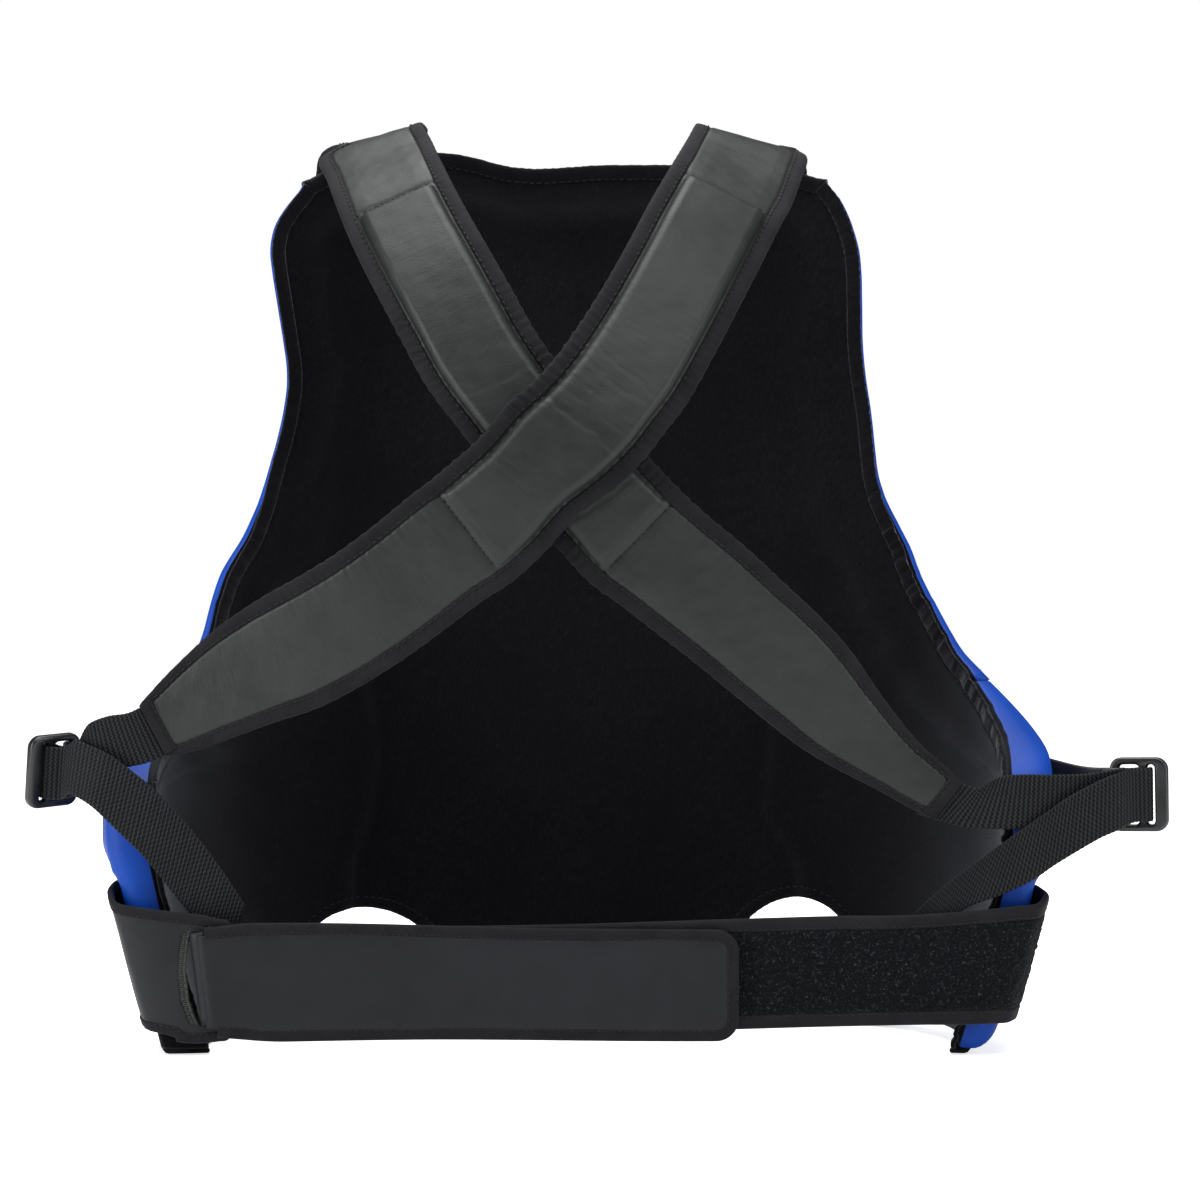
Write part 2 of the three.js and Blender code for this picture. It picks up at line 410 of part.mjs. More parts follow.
function webs(side, frame, ax, web, tail) {
  // the web comes in behind the tail, goes round the centre bar and leaves as the tail
  const front = dot(ax.face, [0, -1, 0]) > 0 ? 1 : -1;
  const bar = atBar(frame, ax, 14.6), q = (a, f) => bar(a, f * front);
  const c = BUCKLE.anchor / 2 + BUCKLE.slotB, e = c + BUCKLE.centre;
  const inRows = [...web, q(c - 5.2, -6.6), q(c - 1.7, -3.4), q(c - 1.5, 0), q(c - 1.2, 3), q(c + 0.8, 4.1), q(e - 0.8, 4.1), q(e + 1.6, 3), q(e + 2.2, 0)];
  const outRows = [q(e + 2.0, -0.8), q(e + 1.6, -3.2), q(e - 1.0, -5.6), q(c, -8.0), ...tail];
  const a = ribbon(inRows, { at: 2, dir: [0, 1, 0] }), b = ribbon(outRows, { at: 6, dir: [0, 1, 0] });
  put("web_" + side, mapped([0, 1], steps(0.12, inRows.length - 1), [-WEB / 2, WEB / 2], (u, v, h) => a(u, v, h)), "web");
  put("tail_" + side, mapped([0, 1], steps(0, outRows.length - 1), [-WEB / 2, WEB / 2], (u, v, h) => b(u, v, h)), "web");
}
webs("left", BUCKLE_LEFT, bl, WEB_LEFT, TAIL_LEFT);
webs("right", BUCKLE_RIGHT, br, WEB_RIGHT, TAIL_RIGHT);

// The anchor tab is sewn flat on the wing and its end loops round the anchor bar.
function anchorTab(name, side, frame, ax, zs) {
  const out = (s, z) => shell(side * s, z, outside(side * s, z) + 2.6);
  const front = dot(ax.face, [0, -1, 0]) > 0 ? 1 : -1;
  const bar = atBar(frame, ax, 14.5), q = (a, f) => bar(a, f * front);
  const rows = [
    [out(215, zs[0]), out(215, zs[1])], [out(238, zs[0]), out(238, zs[1])], [out(258, zs[0] + 1), out(258, zs[1] + 1)],
    [out(276, zs[0] + 2), out(276, zs[1] + 2)],
    q(-9, 4.0), q(-2, 4.3), q(2.6, 4.0), q(4.5, 2.6), q(4.8, 0), q(4.3, -2.6), q(1.8, -4.0), q(-3, -3.8), q(-6.4, -2.6),
  ];
  const r = ribbon(rows, { at: 0, dir: [side, 0, 0] });
  put(name, mapped([0, 1], steps(0, rows.length - 1), [0, 1.4], (u, v, h) => r(u, v, h - 0.7)), "pu");
}
anchorTab("anchor_tab_left", 1, BUCKLE_LEFT, bl, [146, 112]);
anchorTab("anchor_tab_right", -1, BUCKLE_RIGHT, br, [156, 124]);

// ---------------------------------------------------------------- waist belt
const lowZ = (x) => lerp(BELT_Z.right[0], BELT_Z.left[0], smooth((x + 230) / 300));
const highZ = (x) => lerp(76, 70, smooth((x + 200) / 260));
function around(side, off, zl, zh, list) {
  return list.map((s) => [shell(side * s, zl, outside(side * s, zl) + off), shell(side * s, zh, outside(side * s, zh) + off)]);
}
// Plan of the belt from the right wing, round its rear edge and across the back.
const corner = (side) => {
  const x = (v) => SHELL_X + side * v;
  return side < 0
    ? [[[x(231.5), 50, 19], [x(250), 50, 85]], [[x(227), 58.6, 18.5], [x(245.5), 58.6, 82]], [[x(213), 62.6, 18], [x(229), 62.8, 80]]]
    : [[[x(233), 50, 15], [x(252.5), 50, 87]], [[x(229), 60.5, 14], [x(248.5), 60.5, 83]], [[x(216), 66.6, 11], [x(232), 66.6, 80]]];
};
const beltRows = [
  ...around(-1, 3, 20, 88, [232, 256, 282, 306]),
  ...corner(-1),
  ...range(-190, 186, 8).map((x) => [[x, BELT_INNER_Y, lowZ(x)], [x, BELT_INNER_Y, highZ(x)]]),
];
const belt = ribbon(beltRows, { at: 10, dir: [0, 1, 0] });
const beltEnd = beltRows.length - 1;
put("belt_strap", mapped([0, 0.11, 0.89, 1], steps(0, beltEnd), [0, BELT], (u, v, h) => belt(u, v, h)), "pu");
put("belt_loop_pile", mapped([0.11, 0.89], steps(0.4, beltEnd - 0.36), [BELT + 2 * GAP, BELT + 2 * GAP + PILE], (u, v, h) => belt(u, v, h)), "pile");
put("belt_binding_lower", mapped([0, 0.105], steps(0.4, beltEnd - 0.36), [BELT + GAP, BELT + GAP + PILE - 0.3], (u, v, h) => belt(u, v, h)), "bind");
put("belt_binding_upper", mapped([0.895, 1], steps(0.4, beltEnd - 0.36), [BELT + GAP, BELT + GAP + PILE - 0.3], (u, v, h) => belt(u, v, h)), "bind");

// Left tab with the slot that the belt passes through.
const tabY = BELT_INNER_Y + BELT + GAP + 2.4;
const tabRows = [
  ...around(1, 3, 16, 91, [236, 258, 282, 306]),
  ...corner(1),
  [[208, tabY, 9], [208, tabY, 78]], [[191, tabY, 8.5], [191, tabY, 75.5]], [[184, tabY, 10], [184, tabY, 73]], [[179, tabY, 15], [179, tabY, 68]], [[TAB_END_X, tabY, 26], [TAB_END_X, tabY, 58]],
];
const tab = ribbon(tabRows, { at: 7, dir: [0, 1, 0] });
const tabEnd = tabRows.length - 1;
const slotBox = mapped([SLOT_X[0], SLOT_X[1]], [BELT_INNER_Y, tabY + 12], [17.5, 68.5], (x, y, z) => [x, y, z]);
const cutSlot = (g) => fromManifold(toManifold(g).subtract(toManifold(slotBox)));
put("belt_tab", cutSlot(mapped([0.09, 0.91], steps(0, tabEnd), [0, TAB], (u, v, h) => tab(u, v, h))), "pu");
put("belt_tab_binding_lower", mapped([0, 0.085], steps(0, tabEnd - 1), [-0.3, TAB + 0.3], (u, v, h) => tab(u, v, h)), "bind");
put("belt_tab_binding_upper", mapped([0.915, 1], steps(0, tabEnd - 1), [-0.3, TAB + 0.3], (u, v, h) => tab(u, v, h)), "bind");

// The belt turns back through the slot.
const foldZ = [18.4, 67.6];
const foldRows = [[187, 64.2], [191, 64.2], [195.4, 64.8], [199, 66.6], [200.8, 69.2], [200.2, 72.0], [197.6, 73.9], [193.6, 74.4]].map(([x, y]) => [[x, y, foldZ[0]], [x, y, foldZ[1]]]);
const fold = ribbon(foldRows, { at: 0, dir: [0, -1, 0] });
put("belt_fold", mapped([0, 1], steps(0, foldRows.length - 1), [0, 1.6], (u, v, h) => fold(u, v, h - 0.8)), "pu");

// Flap that lies back on the loop pile; its tip carries the hook patch.
const flapY = (x) => lerp(69.6, 73.2, smooth((x - 60) / 110));
const flapRows = [
  ...[193, 181, 160, 135, 110, 80, 40, 0, -40, -70].map((x) => [[x, flapY(x), 9.8 + smooth((x - 150) / 60) * 3], [x, flapY(x), lerp(69, 73, smooth(x / 150)) - smooth((x - 165) / 30) * 2.4]]),
  [[-82, 69.6, 11.5], [-82, 69.6, 67]], [[-89, 69.6, 16], [-89, 69.6, 62]], [[FLAP_END_X, 69.6, 24], [FLAP_END_X, 69.6, 54]],
];
const flap = ribbon(flapRows, { at: 4, dir: [0, 1, 0] });
const flapEnd = flapRows.length - 1;
put("belt_flap", mapped([0.1, 0.9], steps(0, flapEnd), [0, FLAP], (u, v, h) => flap(u, v, h)), "pu");
put("belt_flap_binding_lower", mapped([0, 0.095], steps(0, flapEnd - 1), [-0.1, FLAP + 0.3], (u, v, h) => flap(u, v, h)), "bind");
put("belt_flap_binding_upper", mapped([0.905, 1], steps(0, flapEnd - 1), [-0.1, FLAP + 0.3], (u, v, h) => flap(u, v, h)), "bind");
put("belt_hook_patch", mapped([-74, 10], [67.8, 69.2], [20, 62], (x, y, z) => [x, y, z]), "hook");

export default root;
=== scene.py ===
"""Martial-arts chest protector (body guard): a padded front shell that wraps round the ribs,
two padded shoulder straps that cross on the back, two web adjusters and a hook-and-loop belt.
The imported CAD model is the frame; every soft solid is replaced here by a detailed piece.
Shapes are worked out in millimetres in the CAD's drafting frame and moved to the row frame."""

import math

import bmesh
import bpy
import numpy as np
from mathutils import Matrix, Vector
from mathutils.bvhtree import BVHTree
from mathutils.kdtree import KDTree


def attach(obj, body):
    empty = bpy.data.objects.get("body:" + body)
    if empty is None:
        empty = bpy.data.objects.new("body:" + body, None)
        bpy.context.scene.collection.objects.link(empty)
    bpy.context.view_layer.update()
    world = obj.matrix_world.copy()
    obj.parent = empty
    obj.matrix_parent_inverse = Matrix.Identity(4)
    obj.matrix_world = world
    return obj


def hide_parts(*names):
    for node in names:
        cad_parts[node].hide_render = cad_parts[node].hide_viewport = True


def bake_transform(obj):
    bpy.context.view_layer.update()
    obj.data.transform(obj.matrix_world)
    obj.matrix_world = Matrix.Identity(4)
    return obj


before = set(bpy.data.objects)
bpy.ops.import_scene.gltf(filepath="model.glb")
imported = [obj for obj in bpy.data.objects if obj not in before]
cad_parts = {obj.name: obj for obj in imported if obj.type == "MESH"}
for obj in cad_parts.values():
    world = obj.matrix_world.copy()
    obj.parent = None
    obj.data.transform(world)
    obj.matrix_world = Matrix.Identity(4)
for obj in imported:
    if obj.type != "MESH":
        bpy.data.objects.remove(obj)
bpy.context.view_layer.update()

OFF = np.array([16.41, 25.84, 0.0])
SHELL_X, GAP, LINING, COVER = -7.0, 0.3, 2.4, 1.8
CHEST_FOAM, BELLY_FOAM, WING_FOAM_LEFT, WING_FOAM_RIGHT, BELT_SQUEEZE = 24, 32, 27, 24, 8
SPLIT_Z = 200.0
STRAP_BIND, BACKING, STRAP_FOAM, STRAP_COVER, WEB = 0.13, 1.6, 5.6, 1.4, 1.5
BUCKLE = dict(length=31, height=40, thick=5, slotA=4.4, centre=4, slotB=11.6, anchor=4.5)
BELT_INNER_Y, BELT, PILE, TAB, FLAP = 63.0, 2.0, 1.8, 2.4, 2.6
PLAN = [[0, -122], [60, -121], [108, -113], [152, -95], [190, -66], [216, -26], [229, 15], [229, 52]]
EDGE_LEFT = [[0, 328], [12, 332], [144, 332], [150, 322], [157, 301], [175, 283], [195, 261], [218, 238], [231, 233], [244, 228], [255, 223], [262, 219], [279, 204], [299, 193], [317, 186], [335, 180], [350, 176], [366, 173], [379, 173], [397, 176], [414, 179], [431, 182], [446, 184], [460, 181], [474, 171], [484, 160], [520, 160]]
EDGE_RIGHT = [[0, 328], [12, 332], [148, 332], [156, 322], [171, 299], [189, 273], [204, 254], [214, 239], [227, 228], [244, 214], [259, 204], [272, 199], [285, 191], [293, 186], [303, 180], [317, 175], [333, 173], [350, 171], [373, 167], [392, 165], [430, 164.6], [445, 163], [463, 157], [476, 150], [487, 138], [520, 138]]
TOP = [[-138, 487], [-122, 494], [-100, 498], [-53, 498], [-11, 498], [9, 496.5], [27, 495.4], [45, 497], [58, 501], [71, 504], [85, 505], [110, 503], [135, 498], [150, 492], [160, 484]]
ARCH_LEFT = (129, 60, 67)
ARCH_RIGHT = (-128, 53, 73)
CREASE_LEFT = [[60, 129], [110, 133], [155, 122], [200, 126]]
CREASE_RIGHT = [[60, -128], [73, -128], [115, -107], [172, -110], [200, -112]]
STRAP_RIGHT = [
  [[-71.6, -58, 513.4], [-135.4, -58, 494.1]], [[-67.0, -35, 503.7], [-131.3, -35, 481.7]],
  [[-61.4, -8, 492.5], [-123.7, -8, 462.4]], [[-54.8, 14, 479.8], [-116.4, 14, 449.0]],
  [[-45.2, 34, 461.7], [-106.7, 34, 429.6]], [[-32.5, 55, 436.2], [-93.4, 55, 403.4]],
  [[-18.0, 72, 409.4], [-77.8, 72, 373.7]], [[-4.2, 84, 387.2], [-62.6, 84, 346.9]],
  [[6.8, 91, 371.4], [-51.8, 91, 332.8]], [[17.9, 95, 359.5], [-41.7, 95, 319.4]],
  [[30.5, 97.5, 348.3], [-27.5, 97.5, 305.1]], [[46.3, 98, 329.3], [-4.8, 98, 288.2]],
  [[58.4, 97, 318.8], [11.0, 97, 270.3]], [[71.1, 95.5, 308.3], [28.4, 95.5, 254.5]],
  [[82.8, 94, 299.4], [43.2, 94, 245.0]], [[98.3, 91, 286.8], [60.2, 91, 232.3]],
  [[121.4, 86, 269.9], [85.9, 86, 213.7]], [[141.5, 80, 257.8], [110.1, 80, 198.7]],
  [[159.1, 74, 248.2], [132.4, 74, 187.4]], [[174.6, 68, 238.6], [155.4, 68, 179.7]],
  [[189.7, 63, 227.8], [177.9, 63, 171.5]], [[205.4, 58.5, 213.8], [195.2, 58.5, 165.3]],
  [[219.3, 55.5, 200.2], [205.8, 55.5, 162.5]], [[229.2, 54, 189.4], [214.1, 54, 161.3]],
]
STRAP_LEFT = [
  [[82.3, -58, 514.0], [141.0, -58, 492.9]], [[76.7, -35, 503.1], [135.3, -35, 480.0]],
  [[70.4, -8, 489.1], [128.8, -8, 464.7]], [[63.5, 12, 474.6], [121.8, 12, 448.1]],
  [[54.6, 30, 457.2], [112.9, 30, 429.4]], [[43.7, 47, 437.5], [102.1, 47, 408.9]],
  [[29.2, 62, 411.4], [88.3, 62, 383.5]], [[15.1, 72, 386.0], [73.8, 72, 357.7]],
  [[-0.4, 78, 364.2], [58.1, 78, 337.1]], [[-15.3, 81, 348.6], [40.5, 81, 314.6]],
  [[-30.7, 82.5, 333.1], [21.8, 82.5, 292.3]], [[-45.6, 83, 318.8], [5.4, 83, 273.7]],
  [[-61.0, 82.5, 302.9], [-12.7, 82.5, 254.0]], [[-74.8, 81.5, 290.2], [-28.1, 81.5, 242.9]],
  [[-93.5, 79, 274.8], [-47.3, 79, 228.0]], [[-115.0, 75.5, 255.1], [-68.1, 75.5, 212.0]],
  [[-135.0, 71.5, 236.5], [-88.5, 71.5, 195.3]], [[-151.8, 67, 218.2], [-109.0, 67, 178.6]],
  [[-166.1, 63, 197.8], [-128.5, 63, 164.0]], [[-178.7, 60, 181.0], [-148.6, 60, 152.5]],
  [[-190.8, 58, 166.9], [-166.6, 58, 143.3]], [[-202.4, 56.5, 156.6], [-182.4, 56.5, 134.5]],
  [[-212.2, 55.5, 147.4], [-196.6, 55.5, 127.4]],
]
PAD_RIGHT, PAD_LEFT = (3, 13), (3, 12)
WEB_LEFT = [
  [[230.0, 54.6, 187.0], [216.6, 54.6, 161.2]], [[236.3, 55, 184.2], [225.5, 55, 157.4]],
  [[246.6, 55, 182.6], [238.0, 55, 154.6]], [[256.0, 53, 179.3], [251.6, 53, 151.4]],
]
TAIL_LEFT = [
  [[264.0, 52.5, 169.4], [268.0, 52.5, 140.4]], [[256.8, 56.5, 166.8], [261.6, 56.5, 137.8]],
  [[249.0, 59.8, 163.8], [255.2, 59.8, 134.0]],
  [[240.6, 61, 158.8], [247.6, 61, 127.2]], [[231.0, 61.4, 151.4], [238.6, 61.4, 118.4]],
  [[220.6, 61.2, 143.0], [228.8, 61.2, 109.0]], [[209.6, 60.6, 131.0], [218.0, 60.6, 96.0]],
  [[198.0, 59.6, 117.2], [207.6, 59.6, 82.6]], [[185.2, 58.4, 99.6], [195.4, 58.4, 67.4]],
  [[173.0, 57, 80.8], [182.2, 57, 50.1]],
]
WEB_RIGHT = [
  [[-213.4, 56.2, 146.0], [-198.2, 56.2, 126.8]], [[-221.6, 57, 143.9], [-204.8, 57, 124.9]],
  [[-228.0, 57.6, 147.6], [-214.8, 57.6, 122.4]], [[-236.0, 58, 150.6], [-229.0, 58, 122.0]],
  [[-245.0, 58, 151.2], [-242.4, 58, 121.6]], [[-262.4, 57, 151.0], [-261.2, 57, 121.4]],
  [[-280.4, 53.0, 151.4], [-280.8, 53.0, 122.2]],
]
TAIL_RIGHT = [
  [[-297.0, 56.0, 151.8], [-297.0, 56.0, 121.0]], [[-288.6, 59.4, 149.0], [-287.6, 59.4, 117.4]],
  [[-278.2, 61.2, 144.0], [-275.6, 61.2, 110.8]], [[-268.0, 62, 138.4], [-262.6, 62, 103.0]],
  [[-257.6, 62, 131.0], [-250.0, 62, 94.4]], [[-245.2, 61.6, 122.6], [-234.8, 61.6, 87.2]],
  [[-231.4, 61.2, 112.6], [-218.8, 61.2, 81.4]], [[-215.0, 60.4, 100.8], [-200.6, 60.4, 70.4]],
  [[-200.6, 59, 89.4], [-185.8, 59, 58.8]], [[-187.4, 57.4, 77.0], [-173.0, 57.4, 45.8]],
]
BUCKLE_LEFT = dict(at=[269.51, 29.0, 153.2], along=[0.74, 0.67, -0.06], up=[-0.17, 0.1, 0.98])
BUCKLE_RIGHT = dict(at=[-298.4, 34.0, 139.2], along=[-0.93, 0.36, 0.02], up=[-0.03, 0, 1])
HINGE_LEFT, HINGE_RIGHT, HINGE_FLAP = (0.28592, 0.05484, 0.1532), (-0.28199, 0.05984, 0.1392), (0.21501, 0.09684, 0.043)
SLOT_X, SLOT_Z, TAB_END_X, FLAP_END_X = (192.5, 206.5), (17.5, 68.5), 177, -92


# ------------------------------------------------------------------ small maths
def row(p):
    return (np.asarray(p, float) + OFF) / 1000


def unrow(p):
    return np.asarray(p, float) * 1000 - OFF


def lerp(a, b, t):
    return a + (b - a) * t


def smooth(t):
    c = np.clip(t, 0, 1)
    return c * c * (3 - 2 * c)


def bump(x, centre, width):
    return np.exp(-(((x - centre) / width) ** 2))


def wave(x, seed, scales=(1.0, 0.55, 0.31), weights=(1.0, 0.6, 0.4)):
    """Smooth seeded wobble of x (in units of the longest wavelength), about -1 to 1."""
    rng = np.random.default_rng(seed)
    out = 0.0
    for k, w in zip(scales, weights):
        out = out + w * np.sin(2 * np.pi * np.asarray(x) / k + rng.uniform(0, 2 * np.pi))
    return out / sum(weights)


def wave2(x, y, seed, n=7):
    """Smooth seeded wobble over two coordinates (in units of its wavelength), about -1 to 1."""
    rng = np.random.default_rng(seed)
    out = 0.0
    for _ in range(n):
        a, k, f = rng.uniform(0, 2 * np.pi), rng.uniform(0.6, 1.5), rng.uniform(0, 2 * np.pi)
        out = out + np.sin(2 * np.pi * k * (np.cos(a) * x + np.sin(a) * y) + f)
    return out / n * 1.6


def unit(v):
    return v / np.maximum(np.linalg.norm(v, axis=-1, keepdims=True), 1e-12)


def even(rows, spread=5.0):
    """A table as a function, with its corners rounded over a few millimetres."""
    r = np.array(rows, float)
    x = np.arange(r[0, 0] - 30, r[-1, 0] + 30, 0.5)
    y = np.interp(x, r[:, 0], r[:, 1])
    k = np.exp(-((np.arange(-40, 41) * 0.5 / spread) ** 2))
    y2 = np.convolve(np.pad(y, 40, mode="edge"), k / k.sum(), mode="valid")
    return lambda t: np.interp(t, x, y2)


def spline(t, knots, p):
    """Cubic through points at uneven knots."""
    t, knots, p = np.atleast_1d(t).astype(float), np.asarray(knots, float), np.asarray(p, float)
    h = np.diff(knots)
    d = np.diff(p, axis=0) / h[:, None]
    m = np.empty_like(p)
    m[0], m[-1] = d[0], d[-1]
    m[1:-1] = (h[1:, None] * d[:-1] + h[:-1, None] * d[1:]) / (h[1:] + h[:-1])[:, None]
    i = np.clip(np.searchsorted(knots, t, side="right") - 1, 0, len(h) - 1)
    w = ((t - knots[i]) / h[i])[:, None]
    hh = h[i][:, None]
    return ((2 * w**3 - 3 * w**2 + 1) * p[i] + (w**3 - 2 * w**2 + w) * hh * m[i]
            + (-2 * w**3 + 3 * w**2) * p[i + 1] + (w**3 - w**2) * hh * m[i + 1])


# ------------------------------------------------------------------ the shell's surface
def _plan_points():
    p = np.array([[-x, y] for x, y in PLAN[1:][::-1]] + PLAN, float)
    n = len(p)
    e = np.vstack([2 * p[0] - p[1], p, 2 * p[-1] - p[-2]])
    out = []
    for k in range(561):
        f = k / 560 * (n - 1)
        i = min(int(f), n - 2)
        w = f - i
        p0, p1, p2, p3 = e[i : i + 4]
        t0, t1 = 0.5 * (p2 - p0), 0.5 * (p3 - p1)
        out.append((2 * p1 - 2 * p2 + t0 + t1) * w**3 + (-3 * p1 + 3 * p2 - 2 * t0 - t1) * w**2 + t0 * w + p1)
    return np.array(out)


PP = _plan_points()
ARC = np.concatenate([[0], np.cumsum(np.linalg.norm(np.diff(PP, axis=0), axis=1))])
HALF = ARC[-1] / 2
D0, D1 = unit(PP[1] - PP[0]), unit(PP[-1] - PP[-2])
edge_left, edge_right, top_of = even(EDGE_LEFT, 6), even(EDGE_RIGHT, 6), even(TOP, 8)
crease_left, crease_right = even(CREASE_LEFT, 12), even(CREASE_RIGHT, 12)


def skin(s, z):
    s, z = np.broadcast_arrays(np.asarray(s, float), np.asarray(z, float))
    a = np.clip(s + HALF, 0, 2 * HALF)
    past = s + HALF - a
    x = np.interp(a, ARC, PP[:, 0]) + np.where(past > 0, D1[0], np.where(past < 0, D0[0], 0)) * past + SHELL_X
    y = np.interp(a, ARC, PP[:, 1]) + np.where(past > 0, D1[1], np.where(past < 0, D0[1], 0)) * past
    y = y + 10 * (np.maximum(0, z - 250) / 250) ** 2
    w = np.clip((np.abs(s) - 125) / (HALF - 125), 0, 1.1)
    x = x - np.sign(s) * 30 * (np.maximum(0, 115 - z) / 115) ** 1.3 * w
    return np.stack([x, y, z], -1)


def outward(s, z):
    a, b = skin(np.asarray(s) - 6.0, z), skin(np.asarray(s) + 6.0, z)
    n = np.stack([b[..., 1] - a[..., 1], -(b[..., 0] - a[..., 0]), np.zeros(a.shape[:-1])], -1)
    return unit(n)


def shell(s, z, t):
    return skin(s, z) + outward(s, z) * np.asarray(t)[..., None]


def foam_thickness(s, z):
    s, z = np.broadcast_arrays(np.asarray(s, float), np.asarray(z, float))
    edge = np.where(s >= 0, edge_left(z), edge_right(z))
    side = edge - np.abs(s)
    up = top_of(s) - z
    rim = lerp(22, 4, smooth((z - 150) / 80))
    low = np.where(np.abs(s) < 128, BELLY_FOAM, np.where(s > 0, WING_FOAM_LEFT, WING_FOAM_RIGHT))
    full = lerp(low, CHEST_FOAM, smooth((z - SPLIT_Z + 3) / 6)).astype(float)
    full = full - np.where((np.abs(s) > 150), BELT_SQUEEZE * smooth((112 - z) / 24) * smooth((np.abs(s) - 150) / 60), 0)
    d = np.minimum(side, np.where(z > 330, up, 999))
    return lerp(np.minimum(rim, full), full, smooth(d / 34))


def outside(s, z):
    return LINING + GAP + foam_thickness(s, z) + GAP + COVER


def edge_distance(s, z):
    """Distance along the skin to the nearest free edge above the waist: armholes and neck."""
    side = np.where(s >= 0, edge_left(z), edge_right(z)) - np.abs(s)
    slope = np.where(s >= 0, edge_left(z + 2) - edge_left(z - 2), edge_right(z + 2) - edge_right(z - 2)) / 4
    side = side / np.sqrt(1 + slope**2)
    return np.minimum(side, np.where(z > 330, top_of(s) - z, 999))


# ------------------------------------------------------------------ mesh building
MATS = {}


def make(name, verts, faces, mats, slots=None, uv=None, smooth_shade=True):
    """A mesh object from row-frame metres. uv is one (u, v) pair for each vertex."""
    me = bpy.data.meshes.new(name)
    v = np.asarray(verts, float).reshape(-1, 3)
    me.from_pydata(v.tolist(), [], faces)
    me.validate()
    me.update()
    for m in [mats] if isinstance(mats, str) else mats:
        me.materials.append(MATS[m])
    if slots is not None and len(slots) == len(me.polygons):
        me.polygons.foreach_set("material_index", np.asarray(slots, np.int32))
    if uv is not None:
        lay = me.uv_layers.new(name="UVMap")
        ix = np.empty(len(me.loops), np.int32)
        me.loops.foreach_get("vertex_index", ix)
        lay.data.foreach_set("uv", np.asarray(uv, np.float32)[ix].ravel())
    me.polygons.foreach_set("use_smooth", [smooth_shade] * len(me.polygons))
    o = bpy.data.objects.new(name, me)
    bpy.context.scene.collection.objects.link(o)
    fix_normals(o)
    return o


def fix_normals(o):
    bm = bmesh.new()
    bm.from_mesh(o.data)
    bmesh.ops.recalc_face_normals(bm, faces=bm.faces)
    if bm.calc_volume(signed=True) < 0:
        bmesh.ops.reverse_faces(bm, faces=bm.faces)
    bm.to_mesh(o.data)
    bm.free()
    o.data.update()


def loft(name, rings, mats, along=None, around=None, slots=None, caps=True):
    """rings: (n, m, 3) closed rings in drafting millimetres, one after another."""
    r = np.asarray(rings, float)
    n, m, _ = r.shape
    verts = [row(r.reshape(-1, 3))]
    faces = []
    for i in range(n - 1):
        a, b = i * m, (i + 1) * m
        for j in range(m):
            k = (j + 1) % m
            faces.append((a + j, a + k, b + k, b + j))
    if caps:
        faces.append(tuple(range(m - 1, -1, -1)))
        faces.append(tuple((n - 1) * m + j for j in range(m)))
    u = np.asarray(around if around is not None else np.arange(m), float)
    v = np.asarray(along if along is not None else np.arange(n), float)
    uv = np.stack(np.broadcast_arrays(u[None, :] / 1000, v[:, None] / 1000), -1).reshape(-1, 2)
    sl = None
    if slots is not None:
        sl = [slots[j] for _ in range(n - 1) for j in range(m)] + ([slots[0]] * 2 if caps else [])
    return make(name, np.concatenate(verts), faces, mats, sl, uv)


def solid_grid(name, layers, mats, slot_of_layer=None, uv=None):
    """layers: (k, nv, nu, 3) grids in drafting millimetres from the inner face to the outer one.
    Only the first and last are filled; the others shape the rim."""
    g = np.asarray(layers, float)
    k, nv, nu, _ = g.shape
    border = [(0, j) for j in range(nu)] + [(i, nu - 1) for i in range(1, nv)] + \
             [(nv - 1, j) for j in range(nu - 2, -1, -1)] + [(i, 0) for i in range(nv - 2, 0, -1)]
    verts = [g[0].reshape(-1, 3), g[-1].reshape(-1, 3)]
    base = [0, nv * nu]
    rim_at = [[i * nu + j for i, j in border]]
    at = 2 * nv * nu
    for q in range(1, k - 1):
        verts.append(np.array([g[q, i, j] for i, j in border]))
        rim_at.append(list(range(at, at + len(border))))
        at += len(border)
    rim_at.append([nv * nu + i * nu + j for i, j in border])
    faces, slots = [], []
    for side in (0, 1):
        o = base[side]
        for i in range(nv - 1):
            for j in range(nu - 1):
                a = o + i * nu + j
                f = (a, a + 1, a + nu + 1, a + nu)
                faces.append(f if side else f[::-1])
                slots.append(slot_of_layer[-1] if side and slot_of_layer else (slot_of_layer[0] if slot_of_layer else 0))
    n = len(border)
    for q in range(k - 1):
        a, b = rim_at[q], rim_at[q + 1]
        for i in range(n):
            j = (i + 1) % n
            faces.append((a[i], a[j], b[j], b[i]))
            slots.append(slot_of_layer[q + 1] if slot_of_layer else 0)
    uvs = None
    if uv is not None:
        flat = np.asarray(uv, float).reshape(-1, 2)
        uvs = np.concatenate([flat, flat] + [np.array([uv[i][j] for i, j in border])] * (k - 2))
    return make(name, row(np.concatenate(verts)), faces, mats, slots, uvs)


def stadium(w, t, n=6, squash_inner=1.0):
    """A flat rounded bar section as (across, height) pairs: across 0..w, height 0..t."""
    r = t / 2
    out = []
    for a in np.linspace(-np.pi / 2, np.pi / 2, n):
        out.append((w - r + r * np.cos(a), r + r * np.sin(a)))
    for a in np.linspace(np.pi / 2, 3 * np.pi / 2, n):
        out.append((r * squash_inner + r * squash_inner * np.cos(a), r + r * np.sin(a)))
    return np.array(out)


